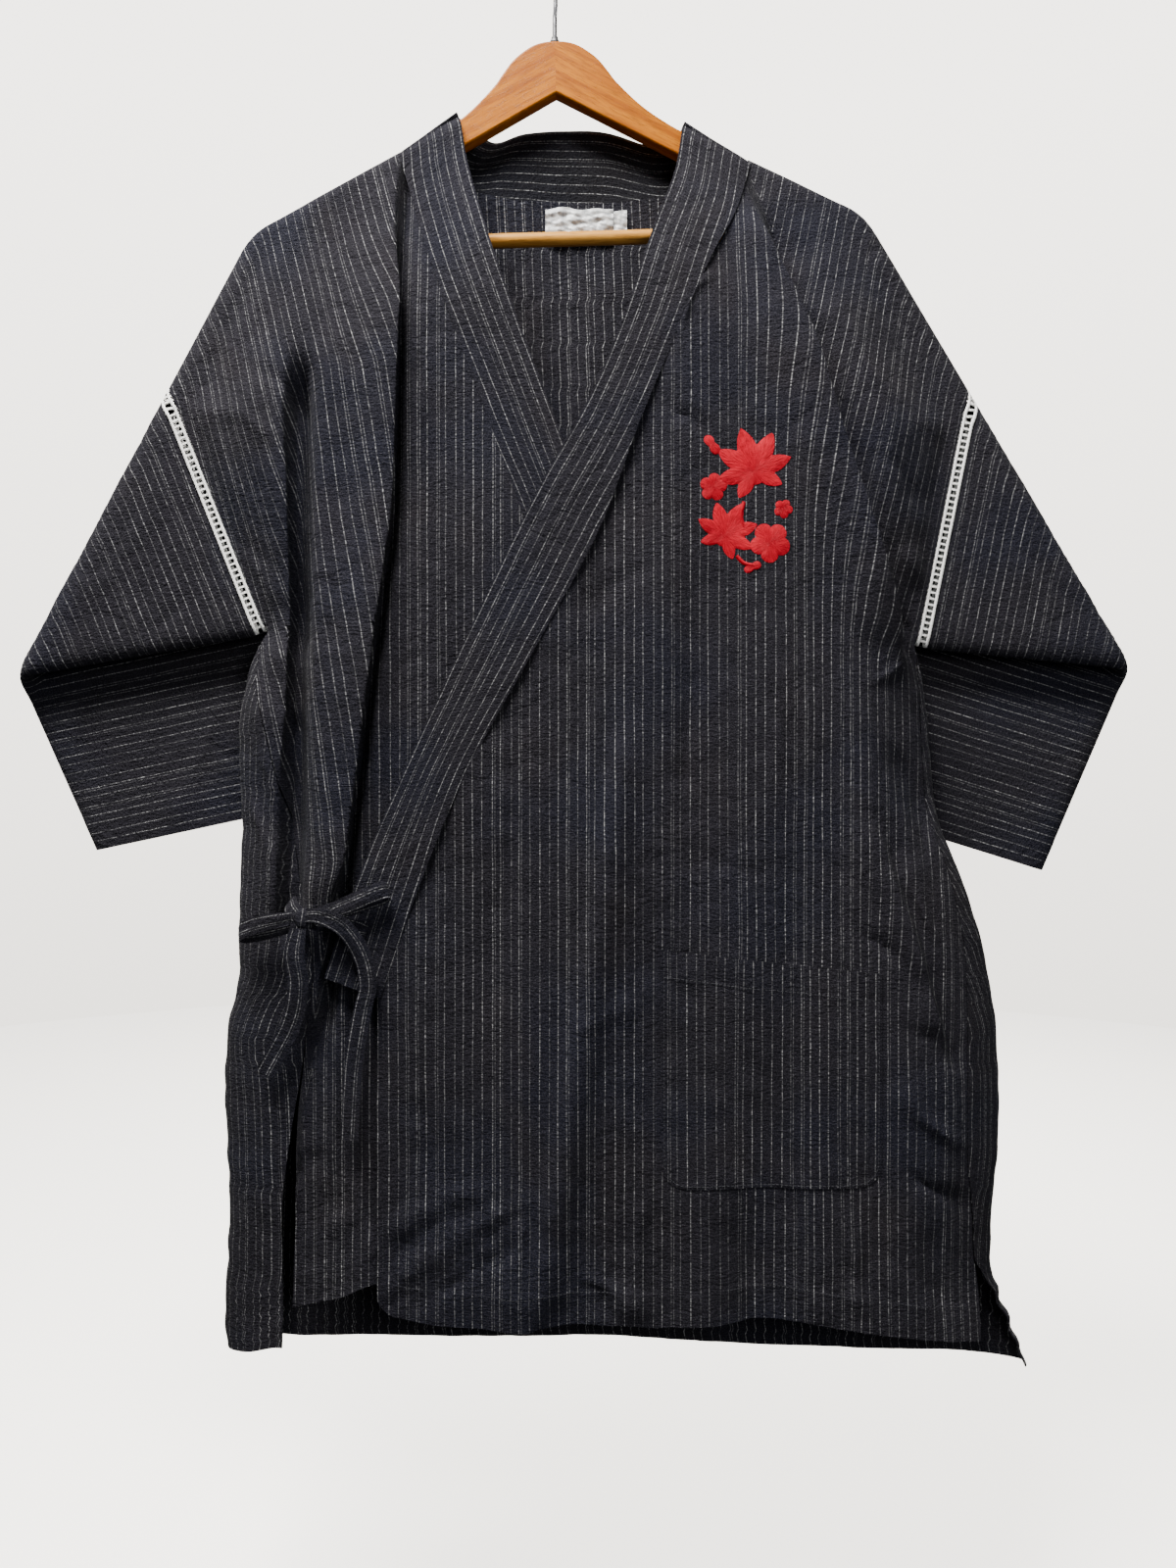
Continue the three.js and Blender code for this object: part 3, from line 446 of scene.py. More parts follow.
def front_y(layer, x, z):
    """Y of a front's main form, as in the part."""
    down = shoulder_z(x) - z
    to_side = body_x(z, "outL") - x
    lift = OVERLAP * smooth(to_side / 80) * smooth((down - 6) / 70) if layer == "over" else 0
    depth = half_depth(x, z, FRONT_DEPTH)
    return -depth - lift - fold_height(FOLDS[layer], x, z) * smooth((depth - LAYER) / 10)


# What the cloth adds to the largest folds: the pleat's deep valley and the drape beside the armhole.
DEEPER = {
    "under": table(FOLD_COLUMNS, (3, 16, 2.5, -300, -188, -450, -189, -700, -193),
                   (-16, 6, 13, -285, -182, -450, -183.5, -715, -187),
                   (-12, 8, 11, -285, -174, -450, -174, -715, -178),
                   (3, 26, 12, -500, -204, -590, -206, -760, -205),
                   (4, 26, 2.5, -132, -110, -400, -120, -800, -172.4),
                   (-7, 5, 10, -132, -103, -400, -113, -790, -164),
                   (-5, 5, 12, -262, -107, -400, -113, -790, -164)),
    "over": table(FOLD_COLUMNS, (6, 30, 5, -175, 138, -350, 188, -530, 249),
                  (5, 15, 20, -540, 52, -780, 18, -985, -14),
                  (-9, 6, 34, -180, 146, -360, 200, -535, 257),
                  (4, 26, 7, -610, 216, -700, 246, -800, 276),
                  (-5, 6, 18, -610, 224, -700, 255, -810, 284)),
}


def dressed_front(layer, x, z):
    """The same with its smaller creases, which fade out at the shoulder and the armhole."""
    depth = half_depth(x, z, FRONT_DEPTH)
    calm = smooth((depth - 4.5) / 5)
    seed = 3 if layer == "over" else 4
    small = 2.6 * crease_height(CREASES[layer], x, z) + 2.2 * uneven(x, z * 0.45, 90, seed)
    small = small + 0.4 * uneven(x, z, 24, 11) + 0.1 * uneven(x, z, 8, 13)
    return front_y(layer, x, z) - (small + fold_height(DEEPER[layer], x, z, 40)) * calm


def lean_over(layer, x, z):
    """How far a large fold's edge leans over the valley beside it, which it hides."""
    total = 0
    leans = ((9, 0), (3.5, 0)) if layer == "under" else ((5, 0), (5, 0, 0, 2))
    for folds, reach in zip((FOLDS[layer], DEEPER[layer]), leans):
        for k, most in enumerate(reach[:len(folds["height"])]):
            if most:
                alone = {name: values[k:k + 1] for name, values in folds.items()}
                share = np.clip(fold_height(alone, x, z) / alone["height"][0], 0, 1)
                total = total + most * share * share
    return total


def dressed_back(x, z):
    depth = half_depth(x, z, BACK_DEPTH)
    calm = smooth((depth - 4.5) / 4)
    small = 2.4 * crease_height(CREASES["back"], x, z) + 1.3 * uneven(x, z * 0.45, 110, 5)
    small = small + 0.45 * uneven(x, z, 24, 12) + 0.16 * uneven(x, z, 8, 14)
    return depth + small * calm


def folded(x, z, y):
    """Where the sleeves' folds bring points of a body panel."""
    right = fold_back(SIDES["right"], x, z, y)
    left = fold_back(SIDES["left"], x, z, y)
    return by_side(x[..., None], right, left)


# ---- meshes -----------------------------------------------------------------------------------
def wall_mesh(name, grid, uv, thickness, material, inner=None):
    """A thin wall whose middle surface goes through a grid of points, in millimetres."""
    high, wide = grid.shape[:2]
    normal = unit(np.cross(np.gradient(grid, axis=0), np.gradient(grid, axis=1)))
    points = np.concatenate([(grid + normal * thickness / 2).reshape(-1, 3),
                             (grid - normal * thickness / 2).reshape(-1, 3)])
    index = np.arange(high * wide).reshape(high, wide)
    under = index + high * wide
    a, b, c, d = index[:-1, :-1], index[1:, :-1], index[1:, 1:], index[:-1, 1:]
    top = np.stack([a, b, c, d], -1).reshape(-1, 4)
    bottom = np.stack([a, d, c, b], -1).reshape(-1, 4) + high * wide
    rims = [
        np.stack([index[:-1, 0], under[:-1, 0], under[1:, 0], index[1:, 0]], -1),
        np.stack([index[1:, -1], under[1:, -1], under[:-1, -1], index[:-1, -1]], -1),
        np.stack([index[0, 1:], under[0, 1:], under[0, :-1], index[0, :-1]], -1),
        np.stack([index[-1, :-1], under[-1, :-1], under[-1, 1:], index[-1, 1:]], -1),
    ]
    faces = np.concatenate([top, bottom, *rims])
    flat_uv = np.concatenate([uv.reshape(-1, 2), uv.reshape(-1, 2)])
    made = mesh_object(name, points, faces, flat_uv, material)
    if inner:
        material, first = inner
        made.data.materials.append(material)
        sides = [0] * len(faces)
        start = 0 if first else len(top)
        sides[start:start + len(top)] = [1] * len(top)
        made.data.polygons.foreach_set("material_index", sides)
    return made


def placed(name, data):
    """An object with the data given, in the scene."""
    made = bpy.data.objects.new(name, data)
    bpy.context.scene.collection.objects.link(made)
    return made


def mesh_object(name, points, faces, uv, material, sharp=40):
    mesh = bpy.data.meshes.new(name)
    mesh.from_pydata((np.asarray(points) * MM).tolist(), [], [[int(i) for i in face] for face in faces])
    if uv is not None:
        layer = mesh.uv_layers.new(name="cloth")
        corner = np.zeros(len(mesh.loops), np.int32)
        mesh.loops.foreach_get("vertex_index", corner)
        layer.data.foreach_set("uv", (np.asarray(uv)[corner] * 0.01).astype(np.float32).ravel())
    mesh.polygons.foreach_set("use_smooth", [True] * len(mesh.polygons))
    mesh.update()
    mesh.set_sharp_from_angle(angle=math.radians(sharp))
    mesh.materials.append(material)
    return placed(name, mesh)


def spread(course, count):
    """The same course with a set number of points, closer together where it turns."""
    step = np.diff(course, axis=0)
    length = np.linalg.norm(step, axis=1)
    way = unit(step)
    turn = np.zeros(len(length))
    turn[:-1] = np.arccos(np.clip((way[:-1] * way[1:]).sum(1), -1, 1))
    reach = np.concatenate([[0], np.cumsum(length + TURN_WEIGHT * turn)])
    goal = np.linspace(0, reach[-1], count)
    return np.stack([np.interp(goal, reach, course[:, k]) for k in range(course.shape[1])], -1)


def lay_out(courses, count):
    """Rows of a panel from its courses, with columns that run on smoothly from row to row."""
    source = np.linspace(0, 1, len(courses[0]))
    places = np.array([spread(np.concatenate([course[:, :3], source[:, None]], 1), count)[:, 3]
                       for course in courses])
    reach = 7
    weights = np.exp(-(np.arange(-reach, reach + 1) / 3.0) ** 2)
    padded = np.concatenate([np.repeat(places[:1], reach, 0), places, np.repeat(places[-1:], reach, 0)])
    places = sum(w * padded[k:k + len(places)] for k, w in enumerate(weights)) / weights.sum()
    return np.array([[np.interp(row, source, course[:, k]) for k in range(course.shape[1])]
                     for row, course in zip(places, courses)]).transpose(0, 2, 1)


def piece(made, nodes=()):
    """Declares a finished piece of the model."""
    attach(made, "root")
    if nodes:
        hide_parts(*nodes)
    return made


# ---- the body's panels ------------------------------------------------------------------------
TURN_ROWS = [0.0, 0.0015, 0.0045, 0.008, 0.013, 0.02, 0.03, 0.042, 0.056]  # close together over the shoulder
UPPER = np.concatenate([TURN_ROWS, np.linspace(0.072, 1, 66)])
LOWER = np.linspace(0, 1, 96)[1:]
BELOW = np.linspace(0, 1, 22)[1:]


def levels(top, hem):
    """Z for X on each row of a body panel, from its top edge to its hem."""
    upper = [lambda x, f=f: lerp(top(x), armpit_z(x), f) for f in UPPER]
    lower = [lambda x, f=f: lerp(armpit_z(x), SLIT_TOP, f) for f in LOWER]
    below = [lambda x, f=f: lerp(SLIT_TOP, hem(x), f) for f in BELOW]
    return upper + lower + below


def meet(level, edge, start):
    """X where a row meets an edge that is given by its Z."""
    x = start
    for _ in range(12):
        x = float(edge(level(x)))
    return x


def slide(start, end, steps):
    """Places from start to end, closer together near both."""
    return lerp(start, end, (1 - np.cos(np.linspace(0, math.pi, steps))) / 2)


def settle(z, reach):
    """How far a lean that fades out below the armpits has carried a stripe."""
    below = np.clip(SIDE_TOP - z, 0, reach)
    return np.where(z > SIDE_TOP, z - SIDE_TOP, -(below - below ** 2 / (2 * reach)))


def stripe_u(layer, x, z):
    """Place across the stripes, which lean in beside the armholes as the photo's folds carry them."""
    crest = crest_x(row_of(FOLDS[layer], 0), z)
    if layer == "under":
        beside, pleated = math.tan(math.radians(15)), math.tan(math.radians(7))
        valley = -177
        swallowed = (beside - pleated) * np.minimum(settle(z, 330) - settle(-300, 330), 0)
        lean = beside * settle(z, 330) - swallowed * smooth((x - valley + 3) / 6)
        return x + lean * smooth((crest + 4 - x) / 3)
    return x - math.tan(math.radians(12)) * settle(z, 120) * smooth((x - crest - 3) / 7)


ARM_EDGE = LACE_WIDTH / 2 + LACE_GAP
CORNER_X = -122  # the over front's lower free corner


def hem_step(z, hem_z):
    """The turned-up hem is a second layer, so the cloth stands a little prouder below its stitching."""
    return 0.5 * smooth((hem_z + HEM + 1.5 - z) / 3) + 0.25 * np.exp(-((z - hem_z - HEM) / 3.5) ** 2)


def front_panel(layer, count):
    side = SIDES["left" if layer == "over" else "right"]
    seam = "frontL" if layer == "over" else "frontR"
    ends = HEMS[layer]

    def hem(x):
        z = flow(ends, "x", x, "z")
        if layer == "over":
            z = z + 12 * (1 - round_off((x - CORNER_X) / 14))
        return z

    courses = []
    for i, level in enumerate(levels(shoulder_z, hem)):
        inner = meet(level, lambda z: flow(INNER_EDGE[layer], "z", z, "x"), side["sign"] * 60)
        if i < len(UPPER) - 1:
            outer = meet(level, lambda z: armhole_x(side, z, ARM_EDGE), side["pitX"])
        else:
            outer = meet(level, lambda z: body_x(z, seam) - side["sign"] * 2 * SEAM, side["pitX"])
        x = slide(inner, outer, 420)
        z = level(x)
        y = dressed_front(layer, x, z) - hem_step(z, hem(x)) + edge_wave(layer, x, z, inner, hem(x))
        u = stripe_u(layer, x, z)
        shift = lean_over(layer, x, z) * smooth(np.abs(x - outer) / 16)
        courses.append(np.concatenate([folded(x + shift, z, y), u[:, None], z[:, None]], 1))
    found = lay_out(courses, count)
    return found[:, :, :3], found[:, :, 3:]


def edge_wave(layer, x, z, inner, hem_z):
    """Free edges wave a little: the hem, the open side of the slit and the over front's straight edge."""
    near_hem = smooth((hem_z + 70 - z) / 70)
    wave = 1.5 * np.sin(x / 21.0 + 0.8) + 1.1 * np.sin(x / 9.5) + 0.8 * np.sin(x / 37.0 + 2)
    total = wave * near_hem * (0.8 if layer == "over" else 0.5)
    if layer == "over":
        near_edge = smooth((24 - np.abs(x - inner)) / 24) * smooth((-745 - z) / 40)
        total = total - near_edge * (1.3 + 0.9 * np.sin(z / 23.0))
    return total


def bumped(x, z):
    """The hanging sides are not quite straight: small bumps where the cloth buckles."""
    right, left = body_x(z, "outR"), body_x(z, "outL")
    low = smooth((-500 - z) / 40)
    bumps = 1.5 * uneven(0 * z, z, 90, 51) + 0.7 * uneven(0 * z, z, 30, 52)
    crumpled = 1.5 * np.sin(z / 3.1) * smooth((-938 - z) / 12) * smooth(1 - (left - x) / 18)
    crumpled = crumpled * smooth((z + 1003) / 16)
    return x + crumpled + low * bumps * (smooth(1 - (x - right) / 26) - 0.6 * smooth(1 - (left - x) / 12))


def back_ripple(x):
    return 0.9 * np.sin(x / 24.0)


def back_top(x):
    return look(BACK_TOP, "x", x, "z")


def back_hem(x):
    return flow(HEMS["back"], "x", x, "z")


def back_heights(x, z, place):
    """Y on a stretch of one of the back's rows, with and without its small folds."""
    if place == "back":
        y = dressed_back(x, z) + back_ripple(x) * smooth((back_hem(x) + 60 - z) / 60)
        return y + hem_step(z, back_hem(x)), half_depth(x, z, BACK_DEPTH)
    return dressed_front(place, x, z) - hem_step(z, back_hem(x)), front_y(place, x, z)


def upper_back(level):
    """A row of the back between the armholes."""
    start, end = (meet(level, lambda z, side=side: armhole_x(side, z, ARM_EDGE), side["pitX"])
                  for side in (SIDES["right"], SIDES["left"]))
    x = slide(start, end, 520)
    z = level(x)
    plain_y = half_depth(x, z, BACK_DEPTH)
    return np.concatenate([folded(x, z, dressed_back(x, z)), np.stack([x, plain_y, z], -1)], 1)


def lower_back(level):
    """A row below the armholes, which wraps round to the fronts at both sides."""
    edges = [meet(level, lambda z, column=column: body_x(z, column), 0)
             for column in ("backR", "outR", "outL", "backL")]
    parts = []
    for first, second, place in zip(edges, edges[1:], ("under", "back", "over")):
        x = slide(first, second, 420 if place == "back" else 90)
        z = level(x)
        if place == "under":
            z = z + STRIP_LIFT * smooth((SLIT_TOP - z) / 60) * smooth((x + 218) / 28)
        y, plain_y = back_heights(x, z, place)
        part = np.concatenate([folded(bumped(x, z), z, y), np.stack([x, plain_y, z], -1)], 1)
        parts.append(part if place == "under" else part[1:])
    return np.concatenate(parts)


def back_panel(count):
    upper, lower = [], []
    for i, level in enumerate(levels(back_top, back_hem)):
        above = i < len(UPPER) - 1
        path = upper_back(level) if above else lower_back(level)
        run = np.concatenate([[0], np.cumsum(np.hypot(np.diff(path[:, 3]), np.diff(path[:, 4])))])
        middle = np.argmin(np.abs(path[:, 3] - STRIPE_ORIGIN) + np.where(path[:, 4] > 0, 0, 1000))
        u = STRIPE_ORIGIN + run - run[middle]
        course = np.concatenate([path[:, :3], u[:, None], path[:, 5:6]], 1)
        (upper if above else lower).append(course)
    found = np.concatenate([lay_out(upper, count), lay_out(lower, count)])
    return found[:, :, :3], found[:, :, 3:]


# ---- collar, pocket and labels ----------------------------------------------------------------
BAND_CREASES = table(
    # down the band from each front's lower end, across the band from its free edge, and size
    "at reach rise width",
    (0.045, 1, -1.0, 3.0), (0.05, 1, 0.8, 3.5), (0.26, 0.7, -0.8, 3), (0.40, 0.8, 0.7, 4),
    (0.52, 0.6, -0.7, 3), (0.63, 1, 0.6, 4), (0.70, 0.8, -0.9, 3), (0.765, 1, -1.2, 2.6),
    (0.775, 1, 0.8, 3), (0.86, 0.9, -0.9, 3.2), (0.93, 1, 0.8, 4), (0.972, 0.8, -0.8, 3))


def collar_grid(stations, columns):
    under, back, over = len(COLLAR_UNDER["freeX"]), len(COLLAR_BACK["freeX"]), len(COLLAR_OVER["freeX"])
    joined = {name: np.concatenate([COLLAR_UNDER[name], COLLAR_BACK[name], COLLAR_OVER[name]])
              for name in ("freeX", "freeZ", "seamX", "seamZ")}
    total = under + back + over
    rows = []
    for t in np.linspace(0, 1, stations):
        f = np.linspace(0, 1, columns)
        x = lerp(through(joined["freeX"], t), through(joined["seamX"], t), f)
        z = lerp(through(joined["freeZ"], t), through(joined["seamZ"], t), f)
        at = t * (total - 1)

        def depth_of(k):
            if k < under:
                return front_y("under", x, z) - ON_TOP
            if k >= under + back:
                return front_y("over", x, z) - ON_TOP
            seam_y = COLLAR_BACK["seamY"][k - under]
            if 1 < k - under < back - 2:
                seam_y = float(dressed_back(x[-1], z[-1])) + (CLOTH + BAND) / 2 + 0.2
            return lerp(COLLAR_BACK["freeY"][k - under], seam_y, f)

        i = min(int(at), total - 2)
        y = lerp(depth_of(i), depth_of(i + 1), at - i)
        rows.append(np.stack([x, y, z], -1))
    grid = np.array(rows)
    run = run_along(grid[:, columns // 2])
    v = run[:, None] + 0 * grid[:, :, 0]
    u = np.linalg.norm(grid - grid[:, :1], axis=-1) + 1.6
    # small cross wrinkles, more on the bands than behind the neck, and the pressed edges
    share = (run / run[-1])[:, None]
    across = np.linspace(0, 1, columns)[None, :]
    bump = 0
    for k in range(len(BAND_CREASES["at"])):
        away = (share - BAND_CREASES["at"][k]) * run[-1] + 5 * np.sin(3 * across + k)
        ends = smooth(across * BAND_CREASES["reach"][k] * 3) * smooth((1 - across) * 6)
        bump = bump + BAND_CREASES["rise"][k] * np.exp(-(away / BAND_CREASES["width"][k]) ** 2) * ends
    bump = bump + 0.25 * uneven(v, u, 40, 21)
    seam_dip = -0.7 * np.exp(-((1 - across) / 0.05) ** 2)
    normal = np.cross(np.gradient(grid, axis=0), np.gradient(grid, axis=1))
    normal /= np.linalg.norm(normal, axis=-1, keepdims=True)
    outward = np.where(normal[stations // 8, columns // 2, 1] > 0, -1, 1)
    lift = 0.8 * np.maximum(bump + seam_dip, -0.6)
    return grid + normal * outward * lift[..., None], np.stack([u, v], -1)


def pocket_grid():
    """The patch pocket, on the over front's own surface, with its turned mouth."""
    rows, uvs = [], []
    height = POCKET["topZ"] - POCKET["bottomZ"]
    for f in np.concatenate([np.linspace(0, 0.9, 44), np.linspace(0.91, 1, 16)]):
        corner = POCKET["corner"] * (1 - round_off((1 - f) * height / POCKET["corner"]))
        x = np.linspace(POCKET["leftX"] + corner, POCKET["rightX"] - corner, 60)
        z = lerp(POCKET["topZ"] - (x - POCKET["leftX"]) * POCKET["topFall"], POCKET["bottomZ"], f)
        y = dressed_front("over", x, z)
        edge = np.minimum(np.minimum(x - POCKET["leftX"], POCKET["rightX"] - x), (1 - f) * height)
        puff = 0.5 * smooth(edge / 12) + 0.9 * smooth(edge / 50) * (1 - f) ** 2
        band = 0.45 * smooth((19 - f * height) / 2.5)
        small = crease_height(CREASES["pocket"], x, z)
        y = y - 0.85 - 0.4 * puff - 0.7 * band - 0.6 * np.maximum(small, -0.7)
        rows.append(np.stack([x, y, z], -1))
        uvs.append(np.stack([stripe_u("over", x, z) + 2.4, z], -1))
    return np.array(rows), np.array(uvs)


def label_grid(size, seed, crinkle):
    f = np.linspace(0, 1, 34)[:, None]
    x = lerp(size["fromX"], size["toX"], np.linspace(0, 1, 44))[None, :] + 0 * f
    z = lerp(size["topZ"], size["bottomZ"], f) + 0 * x
    free = smooth(f * 6)
    z = z + (1 - f) ** 2 * crinkle * (0.9 * np.sin(x / 3.7) + 0.8 * np.sin(x / 7.3 + 1))
    y = half_depth(x, z, BACK_DEPTH) - CLOTH - SEAM - 0.5
    y = y - crinkle * free * (0.8 + uneven(x, z, 9, seed) + 0.5 * uneven(x, z, 4, seed + 1))
    return np.stack([x, y, z], -1), np.stack([x, z], -1)


# ---- sleeves and lace -------------------------------------------------------------------------
def on_sleeve(side, along, down, h):
    """A point on a sleeve: along it, down from its top edge and h from its middle."""
    lean = math.radians(side["lean"])
    up = ARMHOLE - down
    x = side["pitX"] + side["sign"] * (up * math.sin(lean) + along * math.cos(lean))
    z = side["pitZ"] + up * math.cos(lean) - along * math.sin(lean)
    return fold_back(side, x, z, h)


def sleeve_relief(name, layer, along, down, near):
    """The small folds of a sleeve's outer (-1) or under (1) half, and its turned-up hem."""
    ends = ("a0", "d0", "a1", "d1")
    rows = SLEEVE_CREASES[name]
    if layer < 0:
        shape = crease_height(rows, along, down, ends)
    else:
        shape = 0.9 * crease_height(rows, SLEEVE_LENGTH + 8 - along, ARMHOLE - down + 6, ends)
    level = along + 0 * down
    calm = smooth((near - 4) / 22) * smooth((along - ARM_EDGE) / 14)
    h = calm * (shape + 0.45 * uneven(level, down * 0.6, 80, 31 + layer))
    h = h + 0.14 * smooth(near / 10) * uneven(level, down, 17, 35)
    h = h + 0.5 * smooth((along - SLEEVE_LENGTH + HEM + 1.5) / 3)
    at_cuff = smooth((along - SLEEVE_LENGTH + 60) / 60)
    return h + 1.0 * np.sin(down / 17.0 + layer) * at_cuff * smooth(near / 30)


def sleeve_loop(name, along, top, bottom, count):
    """Points round a sleeve, over its outer half and back under it."""
    side = SIDES[name]
    t = slide(0, 1, 260)
    parts = []
    for layer in (-1, 1):
        down = lerp(bottom, top, t) if layer < 0 else lerp(top, bottom, t)
        near = np.minimum(down - top, bottom - down)
        h = LAYER * round_off(near / 12) + sleeve_relief(name, layer, along, down, near)
        h = layer * np.maximum(SEAM, h)
        h[0 if layer < 0 else -1] = 0
        path = on_sleeve(side, along, down, h)
        parts.append(np.concatenate([path, layer * (bottom - down)[:, None]], 1))
    return spread(np.concatenate([parts[0], parts[1][1:]]), count)


def sleeve_ring(name, along, count):
    """The loop some way along a sleeve, whose edges run on to the cuff's corners."""
    side = SIDES[name]
    f = (along - ARM_EDGE) / (SLEEVE_LENGTH - ARM_EDGE)
    return sleeve_loop(name, along, side["cuffTop"] * f, lerp(ARMHOLE, side["cuffBottom"], f), count)


def sleeve_grid(name, stations, count):
    rows, uvs = [], []
    for along in np.linspace(ARM_EDGE, SLEEVE_LENGTH, stations):
        found = sleeve_ring(name, along, count)
        rows.append(found[:, :3])
        uvs.append(np.stack([along + 1.3 + 0 * found[:, 3], found[:, 3]], -1))
    return np.array(rows), np.array(uvs)


RUNG_PITCH = 4.4
LACE_HALF = 0.3  # half the lace's thickness
LACE_CORD = 2.0  # width of the corded edges


def lace_mesh(name, material):
    """Ladder lace: two corded edges and a rung every few millimetres, all round the armhole."""
    points, faces, uvs = [], [], []

    def strip(start, end, at, count_across, crown):
        """Columns from start to end across the lace, at places along the loop (down, layer, run)."""
        base = sum(len(p) for p in points)
        grid, flat = [], []
        for down, layer, turned in at:
            across = np.linspace(start, end, count_across) + 0.22 * math.sin(turned * math.tau / 2.4)
            near = min(down, ARMHOLE - down)
            h = layer * max(SEAM, LAYER * float(round_off(near / 12)))
            rise = crown * np.sin(np.linspace(0, math.pi, count_across))
            for sheet in (1, -1):
                heights = h + layer * sheet * (LACE_HALF + rise)
                grid.append([on_sleeve(SIDES[name], a, down, one) for a, one in zip(across, heights)])
                flat.append([(a, turned) for a in across])
        grid = np.array(grid).reshape(-1, 3)
        points.append(grid)
        uvs.append(np.array(flat).reshape(-1, 2))
        n = count_across
        for i in range(len(at) - 1):
            a = base + 2 * i * n
            for j in range(n - 1):
                faces.append((a + j, a + 2 * n + j, a + 2 * n + j + 1, a + j + 1))
                faces.append((a + n + j, a + n + j + 1, a + 3 * n + j + 1, a + 3 * n + j))
            faces.append((a, a + n, a + 3 * n, a + 2 * n))
            faces.append((a + n - 1, a + 3 * n - 1, a + 4 * n - 1, a + 2 * n - 1))
        last = base + 2 * (len(at) - 1) * n
        for j in range(n - 1):
            faces.append((base + j, base + j + 1, base + n + j + 1, base + n + j))
            faces.append((last + j, last + n + j, last + n + j + 1, last + j + 1))

    def place(run):
        return (ARMHOLE - run, -1, run) if run < ARMHOLE else (run - ARMHOLE, 1, run)

    whole = [place(run) for run in np.arange(0.3, 2 * ARMHOLE - 0.3, 1.2)]
    strip(-LACE_WIDTH / 2, LACE_CORD - LACE_WIDTH / 2, whole, 5, 0.45)
    strip(LACE_WIDTH / 2 - LACE_CORD, LACE_WIDTH / 2, whole, 5, 0.45)
    for run in np.arange(3, 2 * ARMHOLE - 4, RUNG_PITCH):
        strip(-2.2, 2.2, [place(run + step) for step in (0, 0.45, 0.9, 1.35)], 4, 0.3)
    points, uvs = np.concatenate(points), np.concatenate(uvs)
    return mesh_object(f"lace_{name}_ladder", points, faces, uvs, material, 60)


# ---- ties -------------------------------------------------------------------------------------
def strap_grid(width, rows, stations=70, columns=9, seed=1):
    grid, uvs = [], []
    for t in np.linspace(0, 1, stations):
        run = math.radians(float(through(rows["run"], t)))
        middle = np.array([float(through(rows[name], t)) for name in "xyz"])
        across = np.array([-math.sin(run), 0, math.cos(run)])
        f = np.linspace(-0.5, 0.5, columns)
        wave = 0.55 * np.sin(7 * t + 5 * f + seed) + 0.5 * np.sin(13 * t - 6 * f + 2 * seed)
        cup = 0.8 * (1 - (2 * f) ** 2)
        pinch = 1 - 0.22 * np.exp(-((t - 0.02) / 0.12) ** 2)
        points = middle + across * width * pinch * f[:, None]
        points[:, 1] -= cup * 0.6 + wave * 0.45
        grid.append(points)
        uvs.append(np.stack([f * width + 8.2, t * 100 + 0 * f], -1))
    grid, uvs = np.array(grid), np.array(uvs)
    uvs[:, :, 1] = run_along(grid[:, columns // 2])[:, None]
    return grid, uvs


def knot_mesh(material):
    """The bow's knot: a strap wrapped once round the crossing, with gathered ridges."""
    grid, uvs = [], []
    turns, columns = 72, 25
    for i in range(turns + 1):
        turn = math.tau * i / turns
        row, flat = [], []
        for j in range(columns):
            f = j / (columns - 1) * 2 - 1
            polar = math.pi / 2 * f
            swell = max(math.cos(polar), 0.02) ** 0.55
            ridge = 1 + 0.07 * math.sin(9 * f + 1.5 * math.sin(turn)) * math.cos(polar)
            twist = 0.35 * f
            row.append((KNOT["x"] + KNOT["halfX"] * f * 0.96 + 1.2 * math.sin(turn + 0.6) * (1 - f * f),
                        KNOT["y"] - KNOT["halfY"] * 1.1 * swell * ridge * math.cos(turn + twist),
                        KNOT["z"] + KNOT["halfZ"] * swell * ridge * math.sin(turn + twist) - 1.2 * f))
            flat.append((f * 8 + 5.3, turn * 7))
        grid.append(row)
        uvs.append(flat)
    grid = np.array(grid).reshape(-1, 3)
    starts = [i * columns + j for i in range(turns) for j in range(columns - 1)]
    faces = [(a, a + 1, a + columns + 1, a + columns) for a in starts]
    return mesh_object("knot_wrap", grid, faces, np.array(uvs).reshape(-1, 2), material, 70)


# ---- stitches and embroidery ------------------------------------------------------------------
def at_run(values, reach, run):
    """A row of values where its course has run so far."""
    return np.array([np.interp(run, reach, values[:, k]) for k in range(3)])


def stitch_mesh(name, rows, material, length=2.0, gap=0.9, width=0.42, rise=0.26):
    """Rows of single stitches. Each row is a list of points with the direction that faces outward."""
    points, faces = [], []
    for path, outward in rows:
        path, outward = np.asarray(path, float), np.asarray(outward, float)
        reach = run_along(path)
        for start in np.arange(0.4, reach[-1] - length, length + gap):
            ends = [at_run(path, reach, run) for run in (start, start + length)]
            out = at_run(outward, reach, start)
            along = (ends[1] - ends[0]) / max(np.linalg.norm(ends[1] - ends[0]), 1e-6)
            side = np.cross(along, out)
            base = len(points)
            for at, lift in ((0.0, 0.0), (0.22, rise), (0.78, rise), (1.0, 0.0)):
                middle = lerp(ends[0], ends[1], at) + out * lift
                points += [middle + side * width / 2, middle + out * width * 0.4, middle - side * width / 2]
            for k in range(3):
                a = base + 3 * k
                faces += [(a, a + 3, a + 4, a + 1), (a + 1, a + 4, a + 5, a + 2)]
    return mesh_object(name, points, faces, None, material, 80)


def along_front(layer, pairs, proud):
    """A sewing line on a front, from pairs of X and Z."""
    x, z = np.array(pairs, float).T
    y = dressed_front(layer, x, z) - proud
    path = folded(x, z, y)
    return path, np.tile([0.0, -1.0, 0.0], (len(path), 1))


